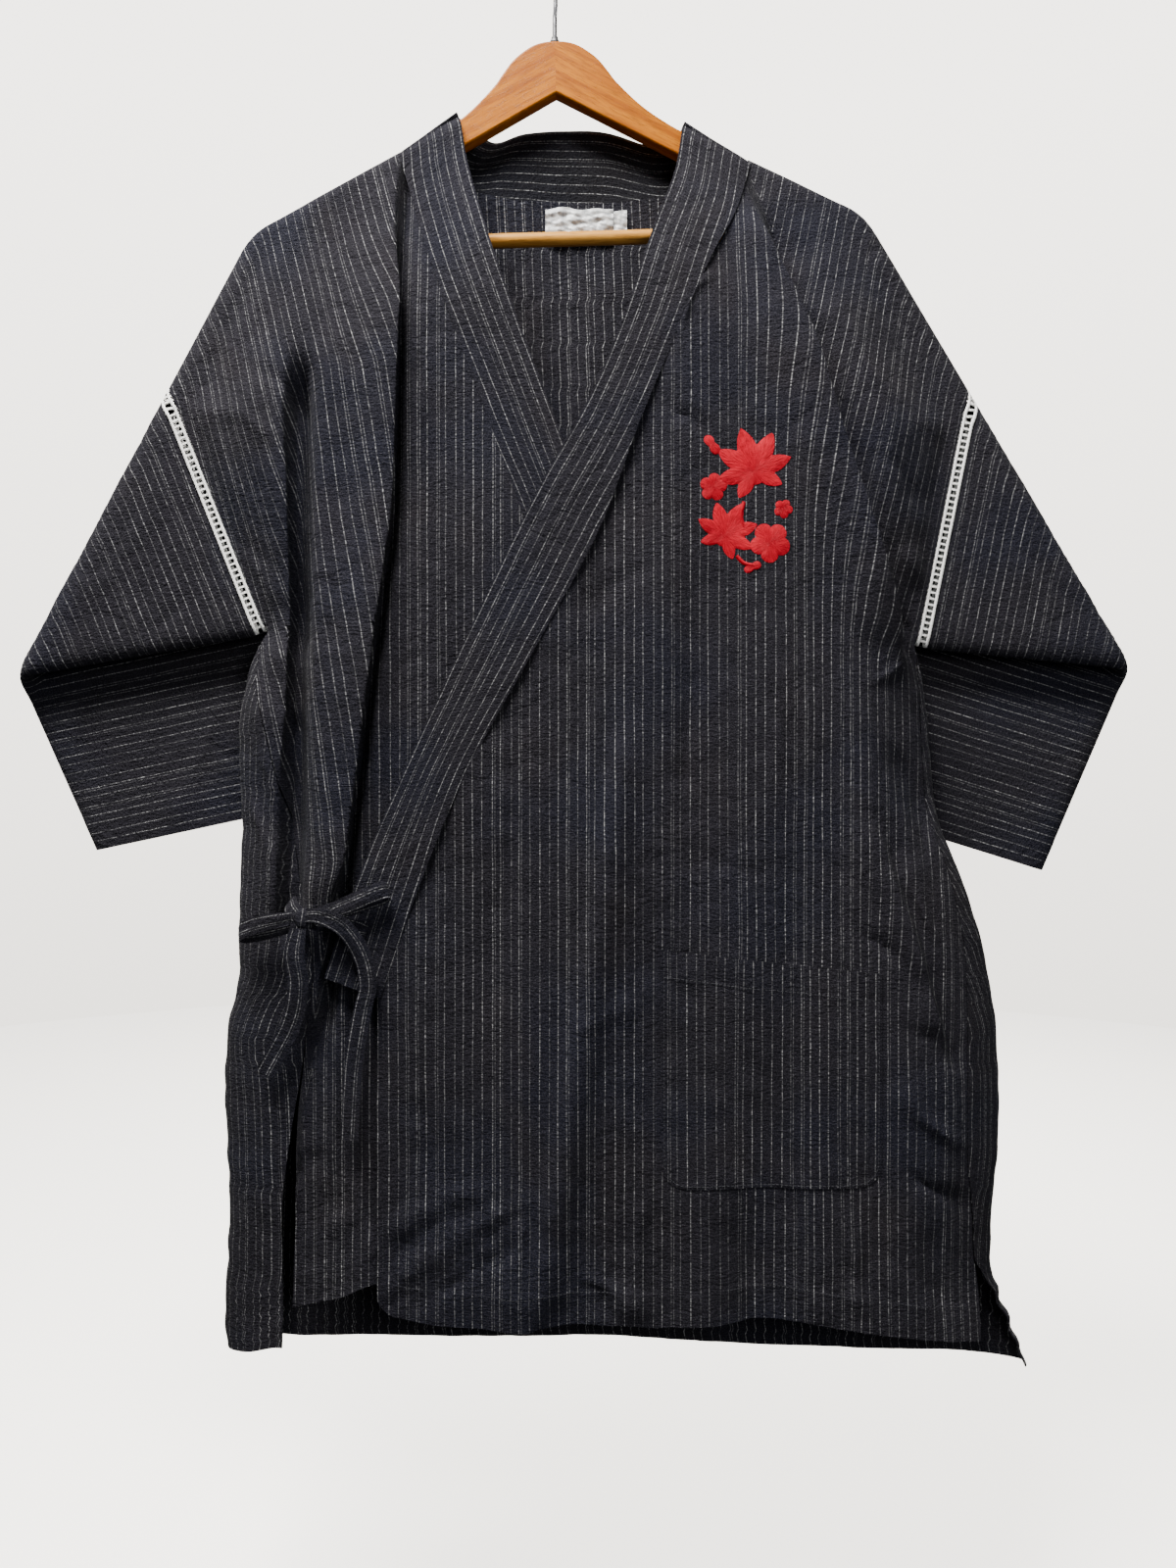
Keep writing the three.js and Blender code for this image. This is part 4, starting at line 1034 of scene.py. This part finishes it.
def hem_line(layer, start, end, up):
    x = np.linspace(start, end, 160)
    z = flow(HEMS[layer], "x", x, "z") + up
    if layer == "back":
        path = np.stack([x, dressed_back(x, z) + 0.75 + back_ripple(x) * 0.6, z], -1)
        return path, np.tile([0.0, 1.0, 0.0], (len(path), 1))
    return along_front(layer, list(zip(x, z)), 1.0)


def round_line(name, along, near_edge):
    """A sewing line round a sleeve, some way along it."""
    side = SIDES[name]
    found = sleeve_ring(name, along, 240)[:, :3]
    step = np.gradient(found, axis=0)
    lean = math.radians(side["lean"])
    axis = np.array([side["sign"] * math.cos(lean), 0, -math.sin(lean)])
    outward = unit(np.cross(step, np.broadcast_to(axis, step.shape)))
    if outward[60, 1] > 0:
        outward = -outward
    return found + outward * near_edge, outward


def pocket_line():
    """X and Z of the sewing round the pocket's sides and rounded lower corners."""
    left, right = POCKET["leftX"] + POCKET_SEWING, POCKET["rightX"] - POCKET_SEWING
    bottom, radius = POCKET["bottomZ"] + POCKET_SEWING, POCKET["corner"] - 2
    middle = bottom + radius

    def corner(x, start):
        return [(x + radius * math.cos(t), middle + radius * math.sin(t))
                for t in np.radians(np.linspace(180, 270, 12)) + start]

    line = [(left, z) for z in np.linspace(POCKET["topZ"] - 1, middle, 40)]
    line += corner(left + radius, 0)
    line += [(x, bottom) for x in np.linspace(left + radius, right - radius, 40)]
    line += corner(right - radius, math.pi / 2)
    return line + [(right, z) for z in np.linspace(middle, POCKET["topZ"] - 18, 40)]


def sewing_lines():
    """The rows of stitches: hems, the over front's edge, the pocket, the cuffs and the armholes."""
    mouth = [(x, POCKET["topZ"] - (x - POCKET["leftX"]) * POCKET["topFall"] - 19)
             for x in np.linspace(POCKET["leftX"] + POCKET_SEWING, POCKET["rightX"] - POCKET_SEWING, 50)]
    lines = [hem_line("over", -106, 290, HEM), hem_line("under", -180, -124, HEM),
             hem_line("back", -205, 300, HEM),
             along_front("over", [(-117, z) for z in np.linspace(-748, -945, 60)], 0.75),
             along_front("over", pocket_line(), 1.5), along_front("over", mouth, 2.05)]
    for name in SIDES:
        lines.append(round_line(name, SLEEVE_LENGTH - HEM, 0.75))
        lines.append(round_line(name, ARM_EDGE + 2.4, 0.6))
    return lines


def motif(centre, size, spin, radius_at, rings=9, steps=120, rise=0.5):
    """A padded satin-stitch shape given by its radius at each angle, laid on the over front."""
    grid, uvs = [], []
    for ring in range(rings + 1):
        rho = ring / rings
        row, flat = [], []
        for k in range(steps):
            turn = math.tau * k / steps
            reach = size * radius_at(turn) * rho
            x = centre[0] + reach * math.cos(turn + spin)
            z = centre[1] + reach * math.sin(turn + spin)
            row.append((x, z, rise * (1 - rho ** 5)))
            flat.append((turn * 12, reach))
        grid.append(row)
        uvs.append(flat)
    flat = np.array(grid).reshape(-1, 3)
    y = dressed_front("over", flat[:, 0], flat[:, 1]) - 0.75 - flat[:, 2]
    points = np.stack([flat[:, 0], y, flat[:, 1]], -1)
    return points, ring_faces(rings + 1, steps), np.array(uvs).reshape(-1, 2)


def maple(turn):
    """A maple leaf of seven pointed lobes, the largest at the top, with a notch at its stalk."""
    best = 0.17
    for angle, length, width in ((90, 1.0, 0.25), (47, 0.92, 0.24), (133, 0.92, 0.24), (3, 0.8, 0.23),
                                 (177, 0.8, 0.23), (-43, 0.56, 0.22), (223, 0.56, 0.22)):
        away = abs((turn - math.radians(angle) + math.pi) % math.tau - math.pi)
        lobe = length * max(0.0, 1 - away / (width * 2.4)) ** 0.9 if away < width * 2.4 else 0
        best = max(best, 0.3 + 0.7 * lobe if lobe > 0 else 0.3)
    return best


def plum(turn):
    """A plum blossom of five round petals."""
    return 0.72 + 0.28 * abs(math.cos(2.5 * turn)) ** 0.7


def petal(turn):
    """A bud with two petals."""
    return 0.34 + 0.66 * abs(math.cos(turn)) ** 2.2


STALK_STEPS = 24
STALK_HALF = 1.3


def stalk(pairs):
    """A leaf's stalk: a low rounded band along a smooth course."""
    t = np.linspace(0, 1, STALK_STEPS)
    x, z = (through(values, t) for values in np.array(pairs, float).T)
    nx, nz = -np.gradient(z), np.gradient(x)
    size = np.hypot(nx, nz)
    rows = []
    for share, lift in ((-1, 0), (-0.5, 0.55), (0, 0.75), (0.5, 0.55), (1, 0)):
        px, pz = x + nx / size * STALK_HALF * share, z + nz / size * STALK_HALF * share
        rows.append(np.stack([px, dressed_front("over", px, pz) - 0.7 - lift, pz], -1))
    wide = len(rows)
    starts = [i * wide + j for i in range(STALK_STEPS - 1) for j in range(wide - 1)]
    faces = [(a, a + wide, a + wide + 1, a + 1) for a in starts]
    uv = np.stack([np.tile(np.arange(float(wide)), STALK_STEPS), np.repeat(t * 20, wide)], -1)
    return np.stack(rows, 1).reshape(-1, 3), faces, uv


def embroidery(material):
    shapes = [((138, -376), 31, 0.3, maple), ((118, -420), 25, -0.5, maple), ((149, -425), 14, 0.9, plum),
              ((110, -387), 9.5, 0.2, plum), ((158, -402), 6.5, 1.1, plum), ((109, -358), 7.5, 2.2, petal),
              ((137, -442), 6, 0.4, petal)]
    stalks = [((131, -397), (129, -406), (131, -414)), ((126, -434), (131, -439), (138, -441))]
    points, faces, uvs = [], [], []
    base = 0
    for part, part_faces, uv in [motif(*shape) for shape in shapes] + [stalk(pairs) for pairs in stalks]:
        points.append(part)
        uvs.append(uv)
        faces += [tuple(base + i for i in face) for face in part_faces]
        base += len(part)
    return mesh_object("chest_embroidery", np.concatenate(points), faces, np.concatenate(uvs), material, 60)


# ---- materials --------------------------------------------------------------------------------
def shade(colour, depth):
    """A colour made darker or lighter."""
    return tuple(depth * c for c in colour[:3]) + (1,)


class Shader:
    """Short names for building a node tree."""

    def __init__(self, name):
        self.material = bpy.data.materials.new(name)
        self.material.use_nodes = True
        self.tree = self.material.node_tree
        self.surface = self.tree.nodes["Principled BSDF"]

    def node(self, kind, **values):
        made = self.tree.nodes.new(kind)
        for key, value in values.items():
            setattr(made, key, value)
        return made

    def put(self, socket, value):
        if isinstance(value, (int, float, tuple)):
            socket.default_value = value
        else:
            self.tree.links.new(value, socket)

    def fill(self, made, values):
        for key, value in values.items():
            self.put(made.inputs[key], value)
        return made

    def math(self, kind, a, b=0.0):
        return self.fill(self.node("ShaderNodeMath", operation=kind), {0: a, 1: b}).outputs[0]

    def times(self, a, b):
        return self.math("MULTIPLY", a, b)

    def plus(self, a, b):
        return self.math("ADD", a, b)

    def scaled(self, value, factor, rest):
        """The value times a factor, plus the rest."""
        return self.plus(self.times(value, factor), rest)

    def step(self, low, high, value):
        made = self.node("ShaderNodeMapRange", interpolation_type="SMOOTHSTEP")
        return self.fill(made, {"Value": value, "From Min": low, "From Max": high}).outputs[0]

    def mix(self, amount, a, b):
        return self.fill(self.node("ShaderNodeMix", data_type="RGBA"), {0: amount, 6: a, 7: b}).outputs[2]

    def joined(self, x, y, z=0.0):
        return self.fill(self.node("ShaderNodeCombineXYZ"), {0: x, 1: y, 2: z}).outputs[0]

    def noise(self, vector, scale, detail=2.0, rough=0.5):
        values = {"Vector": vector, "Scale": scale, "Detail": detail, "Roughness": rough}
        return self.fill(self.node("ShaderNodeTexNoise"), values).outputs["Fac"]

    def chance(self, value, seed):
        made = self.node("ShaderNodeTexWhiteNoise", noise_dimensions="1D")
        return self.fill(made, {"W": self.plus(value, seed)}).outputs["Value"]

    def bump(self, height, strength, distance, under=None):
        values = {"Strength": strength, "Distance": distance * MM, "Height": height}
        if under is not None:
            values["Normal"] = under
        return self.fill(self.node("ShaderNodeBump"), values).outputs[0]

    def place(self):
        return self.node("ShaderNodeTexCoord").outputs["Object"]

    def read_cloth(self):
        """Reads U and V in millimetres of cloth."""
        source = self.node("ShaderNodeUVMap", uv_map="cloth")
        split = self.fill(self.node("ShaderNodeSeparateXYZ"), {0: source.outputs[0]})
        self.u, self.v = (self.times(split.outputs[k], 100.0) for k in (0, 1))

    def cloth_noise(self, along_u, along_v, seed=0.0, detail=2.0, rough=0.5):
        """Noise that changes along U and V as fast as is said."""
        way = self.joined(self.times(self.u, along_u), self.times(self.v, along_v), seed)
        return self.noise(way, 1.0, detail, rough)

    def finish(self, colour, normal, values):
        """Fills the surface's sockets and gives the finished material."""
        self.fill(self.surface, {"Base Color": colour, **values})
        if normal is not None:
            self.fill(self.surface, {"Normal": normal})
        return self.material


STRIPE_PITCH = 6.5
PAIR_GAP = 1.7  # from a pinstripe to the fainter one that some have beside them
INNER_FIRST = True  # which side of the back's wall faces into the jacket
COLLAR_INNER_FIRST = False


def striped_cotton(name, depth, stripe):
    """Charcoal cotton with worn pinstripes; depth darkens its ground, which makes the copies with painted
    shade, and stripe is the lines' tone.
    """
    s = Shader(name)
    s.read_cloth()

    sway = s.times(s.math("SUBTRACT", s.cloth_noise(0.05, 0.03), 0.5), 1.1)
    cell_at = s.math("DIVIDE", s.plus(s.u, sway), STRIPE_PITCH)
    cell = s.math("FLOOR", cell_at)
    inside = s.times(s.math("SUBTRACT", cell_at, cell), STRIPE_PITCH)

    def line(centre, half, seed):
        """One thread line in each cell, broken and worn away in places."""
        mask = s.step(half + 0.14, half - 0.12, s.math("ABSOLUTE", s.math("SUBTRACT", inside, centre)))
        thread = s.noise(s.joined(s.times(cell, 7.31), s.times(s.v, 0.62), seed), 1.0, 3.0, 0.65)
        wear = s.noise(s.joined(s.times(cell, 3.17), s.times(s.v, 0.035), seed), 1.0)
        broken = s.scaled(s.step(0.42, 0.62, thread), 0.85, 0.15)
        worn = s.scaled(s.step(0.3, 0.62, wear), 0.55, 0.45)
        return s.times(mask, s.times(broken, worn))

    first_at = s.scaled(s.chance(cell, 3.7), 1.5, 2.4)
    first = s.times(line(first_at, 0.27, 1.0), s.scaled(s.chance(cell, 9.1), 0.6, 0.4))
    some = s.times(s.step(0.6, 0.75, s.chance(cell, 17.3)), 0.5)
    second = s.times(line(s.plus(first_at, PAIR_GAP), 0.2, 5.0), some)
    lines = s.math("MINIMUM", s.plus(first, second), 1.0)

    navy = s.step(0.42, 0.66, s.noise(s.place(), 9.0, 3.0))
    warm = s.step(0.5, 0.74, s.cloth_noise(0.02, 0.011, 4.0, 3.0))
    flecks = s.step(0.44, 0.70, s.cloth_noise(1.0, 1.6, 0.0, 3.0, 0.7))
    # depth under 1 paints shade into the ground, for the shaded copies
    ground = s.mix(navy, shade((0.0080, 0.0072, 0.0100), depth), shade((0.0054, 0.0060, 0.0118), depth))
    ground = s.mix(s.times(warm, 0.3), ground, shade((0.0145, 0.0108, 0.0105), depth))
    ground = s.mix(s.times(flecks, 0.8), ground, shade((0.044, 0.042, 0.050), depth))
    colour = s.mix(s.times(lines, 0.8), ground, (stripe, stripe * 0.995, stripe * 0.99, 1))

    def crumple(size, stretch, seed):
        """Sharp little folds, where smooth noise passes its middle value."""
        smooth_noise = s.cloth_noise(size, size * stretch, seed, 2.0, 0.45)
        return s.step(0.0, 0.09, s.math("ABSOLUTE", s.math("SUBTRACT", smooth_noise, 0.5)))

    # the crinkled weave puckers in short ripples across the warp
    ripple = s.cloth_noise(0.22, 0.62, 2.0, 3.0, 0.6)
    pucker = s.cloth_noise(0.7, 0.28, 8.0)
    relief = s.plus(s.times(ripple, 0.7), s.times(pucker, 0.5))
    patchy = s.scaled(s.step(0.42, 0.62, s.cloth_noise(0.009, 0.007, 6.0)), 0.75, 0.25)
    folds = s.plus(crumple(0.022, 0.7, 3.0), s.times(crumple(0.05, 1.3, 9.0), 0.5))
    creased = s.bump(s.times(folds, patchy), 0.55, 1.5)
    coarse = s.bump(relief, 1.0, 2.4, creased)
    normal = s.bump(s.cloth_noise(2.6, 1.9, 0.0, 1.0), 0.5, 0.3, coarse)
    return s.finish(colour, normal, {"Roughness": 0.9, "Specular IOR Level": 0.07,
                                     "Sheen Weight": 0.022, "Sheen Roughness": 0.45})


def hem_thread():
    s = Shader("hem_thread")
    grey = (0.028, 0.028, 0.034)
    grain = s.noise(s.place(), 900.0, 2.0)
    colour = s.mix(s.step(0.3, 0.7, grain), shade(grey, 0.8), shade(grey, 1))
    return s.finish(colour, s.bump(grain, 0.4, 0.3), {"Roughness": 0.6})


def lace_cotton():
    s = Shader("lace_cotton")
    s.read_cloth()
    cord = s.node("ShaderNodeTexWave", wave_type="BANDS", bands_direction="DIAGONAL")
    cord = s.fill(cord, {"Vector": s.joined(s.u, s.v), "Scale": 0.42, "Distortion": 1.5}).outputs["Fac"]
    colour = s.mix(cord, (0.80, 0.785, 0.75, 1), (0.96, 0.95, 0.92, 1))
    return s.finish(colour, s.bump(cord, 0.5, 0.35), {"Roughness": 0.85, "Sheen Weight": 0.1})


def satin_label():
    s = Shader("satin_label")
    s.read_cloth()
    weave = s.cloth_noise(0.5, 3.0)
    mottle = s.cloth_noise(0.25, 0.3, 3.0, 3.0)
    colour = s.mix(s.step(0.3, 0.72, mottle), (0.26, 0.27, 0.28, 1), (0.56, 0.56, 0.55, 1))
    return s.finish(colour, s.bump(weave, 0.35, 0.25), {"Roughness": 0.36, "Sheen Weight": 0.15})


def satin_stitch():
    s = Shader("satin_stitch")
    s.read_cloth()
    threads = s.cloth_noise(1.6, 0.2, 0.0, 2.0, 0.6)
    fine = s.cloth_noise(0.5, 1.4, 3.0)
    colour = s.mix(s.step(0.3, 0.7, threads), (0.26, 0.0001, 0.006, 1), (0.46, 0.0002, 0.016, 1))
    normal = s.bump(s.plus(threads, s.times(fine, 0.4)), 0.8, 0.6)
    return s.finish(colour, normal, {"Roughness": 0.6, "Specular IOR Level": 0.1, "Anisotropic": 0.35})


def wood(name, dark, light, grain_turn, waves):
    """Grain that runs along a piece turned by grain_turn, with waves to a metre along X, Y and Z."""
    s = Shader(name)
    turned = s.node("ShaderNodeMapping", vector_type="TEXTURE")
    lengths = tuple(1 / count for count in waves)
    grain = s.fill(turned, {"Vector": s.place(), "Rotation": (0, grain_turn, 0), "Scale": lengths}).outputs[0]
    wide = s.noise(grain, 1.0, 4.0, 0.6)
    fine = s.noise(grain, 5.5, 3.0, 0.7)
    pores = s.step(0.62, 0.72, s.noise(grain, 11.0, 1.0))
    colour = s.mix(s.step(0.3, 0.7, wide), dark, light)
    colour = s.mix(s.times(s.step(0.42, 0.68, fine), 0.55), colour, shade(dark, 0.62))
    colour = s.mix(s.times(pores, 0.3), colour, shade(dark, 0.45))
    normal = s.bump(s.plus(fine, pores), 0.18, 0.3)
    return s.finish(colour, normal, {"Roughness": 0.38, "Specular IOR Level": 0.1})


def steel():
    s = Shader("hook_steel")
    wear = s.noise(s.place(), 350.0, 3.0)
    colour = s.mix(wear, (0.09, 0.09, 0.095, 1), (0.16, 0.16, 0.165, 1))
    return s.finish(colour, None, {"Metallic": 1.0, "Roughness": s.scaled(wear, 0.05, 0.5)})


# ---- hanger -----------------------------------------------------------------------------------
def tilted(x, z):
    """The wooden part hangs a little lower on the viewer's left, turned about its top."""
    low = z - ARM_TOP["z"][0]
    c, s = math.cos(HANGER_TILT), math.sin(HANGER_TILT)
    return x * c - low * s, ARM_TOP["z"][0] + x * s + low * c


ARM_BEVEL = 1.5


def arm_outline():
    """Points round an arm, from its top edge over its end to its underside and past the middle joint."""
    t, short = np.linspace(0, 1, 60), np.linspace(0, 1, 20)
    top = np.stack([through(ARM_TOP["out"], t), through(ARM_TOP["z"], t)], -1)
    end = np.stack([through(ARM_END["out"], short), through(ARM_END["z"], short)], -1)
    under = np.stack([ARM_BOTTOM["out"], ARM_BOTTOM["z"]], -1)
    past_butt = np.array([[-4 * ARM_BEVEL, under[-1, 1]], [-4 * ARM_BEVEL, top[0, 1]]])
    outline = np.concatenate([top, end, under, past_butt])
    return outline[np.concatenate([[True], np.linalg.norm(np.diff(outline, axis=0), axis=1) > 0.3])]


def hanger_arm(name, sign, material):
    """One arm as a plate with well rounded edges, cut flat where the two arms meet."""
    outline = arm_outline()
    curve = bpy.data.curves.new(name, "CURVE")
    curve.dimensions = "2D"
    curve.fill_mode = "BOTH"
    spline = curve.splines.new("POLY")
    spline.points.add(len(outline) - 1)
    for spot, (out, z) in zip(spline.points, outline):
        spot.co = (sign * out * MM, z * MM, 0, 1)
    spline.use_cyclic_u = True
    curve.extrude = (HANGER_THICKNESS / 2 - ARM_BEVEL) * MM
    curve.bevel_depth = ARM_BEVEL * MM
    curve.bevel_resolution = 5
    curve.offset = -ARM_BEVEL * MM
    helper = placed(name + "_curve", curve)
    bpy.context.view_layer.update()
    solid = bpy.data.meshes.new_from_object(helper.evaluated_get(bpy.context.evaluated_depsgraph_get()))
    bpy.data.objects.remove(helper)
    co = np.zeros(len(solid.vertices) * 3)
    solid.vertices.foreach_get("co", co)
    co = co.reshape(-1, 3) / MM
    x, z = tilted(sign * np.maximum(sign * co[:, 0], 0), co[:, 1])
    solid.vertices.foreach_set("co", (np.stack([x, co[:, 2], z], -1) * MM).ravel())
    solid.materials.clear()
    solid.materials.append(material)
    solid.polygons.foreach_set("use_smooth", [True] * len(solid.polygons))
    solid.update()
    solid.set_sharp_from_angle(angle=math.radians(35))
    return placed(name, solid)


def lathe(name, rings, steps, material, place):
    """A round piece from rings of distance and radius; place turns (distance, a, b) into a point."""
    points = [place(d, r * math.cos(math.tau * k / steps), r * math.sin(math.tau * k / steps))
              for d, r in rings for k in range(steps)]
    return mesh_object(name, points, ring_faces(len(rings), steps), None, material, 50)


def hanger_bar(material):
    """The round trouser bar between the arms."""
    length = BAR_END - SEAM

    def place(d, a, b):
        x, z = tilted(d, BAR_Z + b)
        return (x, a, z)

    rings = [(-length, 0.01), (-length, BAR_RADIUS)]
    rings += [(d, BAR_RADIUS) for d in np.linspace(-length, length, 40)[1:-1]]
    rings += [(length, BAR_RADIUS), (length, 0.01)]
    return lathe("bar_dowel", rings, 40, material, place)


def hook_course():
    """X and Z up the shank and round the bend."""
    top = WIRE_RADIUS - HOOK_RADIUS
    course = [(0, ARM_TOP["z"][0] + SEAM), (0, -52), (1, -42), (9, -34)]
    for angle in np.arange(-20, 215.1, 23.5):
        turn = math.radians(angle)
        course.append((HOOK_RADIUS * math.cos(turn), top + HOOK_RADIUS * math.sin(turn)))
    return np.array(course)


def hanger_hook(material):
    course = hook_course()
    t = np.linspace(0, 1, 150)
    path = np.stack([0 * t, through(course[:, 0], t), through(course[:, 1], t)], -1)
    step = np.gradient(path, axis=0)
    step /= np.linalg.norm(step, axis=1, keepdims=True)
    side = np.array([1.0, 0, 0])
    points, steps, last = [], 16, len(path) - 1
    for k, (p, d) in enumerate(zip(path, step)):
        up = np.cross(side, d)
        radius = WIRE_RADIUS * (1 if k < last - 3 else math.sqrt(max(0.02, 1 - ((k - last + 3) / 3.05) ** 2)))
        points += [p + radius * (side * math.cos(math.tau * j / steps) + up * math.sin(math.tau * j / steps))
                   for j in range(steps)]
    tip = tuple(range(last * steps, len(path) * steps))
    return mesh_object("hook_wire", points, ring_faces(len(path), steps) + [tip], None, material, 60)


def ferrule(material):
    """The small collar where the hook enters the wood."""
    rings = [(-61.2, 3.0), (-60.6, 3.3), (-59.4, 3.3), (-58.8, 2.7), (-56.5, 2.3), (-56.0, 1.7)]
    return lathe("hook_ferrule", rings, 28, material, lambda d, a, b: (a, b, d))


# ---- the model --------------------------------------------------------------------------------
cotton = striped_cotton("striped_cotton", 1.0, 0.37)
# the jacket's inside face: the same cotton with its ground painted a little darker as shade (0.95) and lighter
# stripes (0.42)
inside_cotton_painted_shade = striped_cotton("striped_cotton_inside_painted_shade", 0.95, 0.42)
# the collar's inside is made darker, to match how dark the photo's shade is there
neck_cotton_painted_shade = striped_cotton("striped_cotton_neck_painted_shade", 0.4, 0.25)
lace_white = lace_cotton()
label_white = satin_label()

# the back's inside face takes the cotton with painted shade
back = wall_mesh("back_cloth", *back_panel(150), CLOTH, cotton, (inside_cotton_painted_shade, INNER_FIRST))
piece(back, ["back_body"])
front_r = wall_mesh("under_front_cloth", *front_panel("under", 96), CLOTH, cotton)
piece(front_r, ["front_right"])
front_l = wall_mesh("over_front_cloth", *front_panel("over", 110), CLOTH, cotton)
piece(front_l, ["front_left"])
# the band's inside face takes the cotton with painted shade
band = wall_mesh("collar_band", *collar_grid(420, 15), BAND, cotton, (neck_cotton_painted_shade, COLLAR_INNER_FIRST))
piece(band, ["collar"])
patch = wall_mesh("pocket_patch", *pocket_grid(), POCKET_CLOTH, cotton)
piece(patch, ["pocket"])
for name in SIDES:
    tube = wall_mesh(f"sleeve_{name}_cloth", *sleeve_grid(name, 92, 170), CLOTH, cotton)
    piece(tube, [f"sleeve_{name}"])
    ladder = lace_mesh(name, lace_white)
    piece(ladder, [f"lace_{name}"])
for k, (name, (width, rows)) in enumerate(STRAPS.items()):
    strap = wall_mesh(f"{name}_strap", *strap_grid(width, rows, seed=k), CLOTH, cotton)
    piece(strap, [name])
piece(knot_mesh(cotton), ["tie_knot"])
neck = wall_mesh("neck_label_satin", *label_grid(NECK_LABEL, 41, 0.8), SATIN, label_white)
piece(neck, ["neck_label"])
tab = wall_mesh("size_tab_satin", *label_grid(SIZE_LABEL, 47, 0.4), SATIN, label_white)
piece(tab, ["size_label"])
piece(embroidery(satin_stitch()))
piece(stitch_mesh("hem_stitches", sewing_lines(), hem_thread()))

for name, side_name, sign in (("arm_right_wood", "right", -1), ("arm_left_wood", "left", 1)):
    grain = wood(f"honey_wood_{side_name}", HONEY_DARK, HONEY_LIGHT, 0.49 * sign, (14, 120, 190))
    piece(hanger_arm(name, sign, grain), [f"hanger_arm_{side_name}"])
dowel = hanger_bar(wood("bar_wood", (0.38, 0.155, 0.022, 1), (0.52, 0.245, 0.045, 1), 0.0, (8, 90, 90)))
piece(dowel, ["hanger_bar"])
dowel.visible_shadow = False  # its shadow would fall on the back as a black line that the photo lacks
metal = steel()
piece(hanger_hook(metal), ["hanger_hook"])
piece(ferrule(metal))


# ---- floor, light and camera ------------------------------------------------------------------
FLOOR_Z = -1.22
FLOOR_RADIUS = 2.6


def pale_floor():
    """A pale round floor that glows evenly and leaves the jacket's light alone."""
    turns = [math.tau * k / 96 for k in range(96)]
    disc = [(FLOOR_RADIUS * math.cos(turn), FLOOR_RADIUS * math.sin(turn), FLOOR_Z) for turn in turns]
    mesh = bpy.data.meshes.new("floor")
    mesh.from_pydata(disc, [], [tuple(range(len(disc)))])
    mesh.materials.append(Shader("pale_floor").finish((0.80, 0.78, 0.74, 1), None, {
        "Roughness": 0.9, "Emission Color": (1.0, 0.955, 0.88, 1), "Emission Strength": 2.3}))
    floor = placed("floor", mesh)
    floor.visible_diffuse = False
    floor.visible_glossy = False
    return floor


def pale_room():
    """A pale wall for the camera to see. It lights the jacket only as a dim, even room would."""
    world = bpy.data.worlds.new("pale_room")
    bpy.context.scene.world = world
    world.use_nodes = True
    tree = world.node_tree

    def add(kind, values=()):
        node = tree.nodes.new(kind)
        for key, value in dict(values).items():
            node.inputs[key].default_value = value
        return node

    split = add("ShaderNodeSeparateXYZ")
    # the wall the camera sees is painted lighter above and darker below, as light from above would fall on it
    rise = add("ShaderNodeMapRange", {"From Min": -0.26, "From Max": 0.5})
    painted_wall_light = add("ShaderNodeMix", {6: (0.62, 0.59, 0.54, 1), 7: (1.0, 0.955, 0.89, 1)})
    painted_wall_light.data_type = "RGBA"
    shown = tree.nodes["Background"]
    shown.inputs["Strength"].default_value = 4.2
    soft = add("ShaderNodeBackground", {"Color": (0.95, 0.97, 1.0, 1), "Strength": 0.13})
    chosen = add("ShaderNodeMixShader")
    for source, goal in (
        (add("ShaderNodeTexCoord").outputs["Generated"], split.inputs[0]),
        (split.outputs["Z"], rise.inputs["Value"]),
        (rise.outputs[0], painted_wall_light.inputs[0]),
        (painted_wall_light.outputs[2], shown.inputs["Color"]),
        (add("ShaderNodeLightPath").outputs["Is Camera Ray"], chosen.inputs[0]),
        (soft.outputs[0], chosen.inputs[1]),
        (shown.outputs[0], chosen.inputs[2]),
        (chosen.outputs[0], tree.nodes["World Output"].inputs["Surface"]),
    ):
        tree.links.new(source, goal)


def area_light(name, place, target, size, power, colour):
    data = bpy.data.lights.new(name, "AREA")
    data.shape = "RECTANGLE"
    data.size, data.size_y = size
    data.energy = power
    data.color = colour
    lamp = placed(name, data)
    lamp.location = place
    lamp.visible_camera = False
    lamp.rotation_euler = (Vector(target) - Vector(place)).to_track_quat("-Z", "Y").to_euler()


def photo_camera():
    """The photo's camera, which looks straight along Y from in front of the waist."""
    eye = bpy.data.cameras.new("camera")
    eye.sensor_fit = "VERTICAL"
    eye.sensor_height = 36
    eye.lens = 26.0
    eye.clip_start = 0.01
    camera = placed("camera", eye)
    camera.location = (0.0238, -0.811, -0.591)
    camera.rotation_euler = (math.pi / 2, 0, 0)
    bpy.context.scene.camera = camera


pale_floor()
pale_room()
area_light("key", (-0.46, -0.66, 0.95), (0.04, 0, -0.6), (0.9, 0.35), 107, (1.0, 0.985, 0.96))
area_light("front", (0.9, -1.7, -0.1), (0, 0, -0.65), (1.0, 0.9), 13, (0.98, 0.99, 1.0))
area_light("behind", (0.3, 1.5, 0.7), (0, 0, -0.6), (1.4, 1.0), 90, (1.0, 0.99, 0.97))
photo_camera()
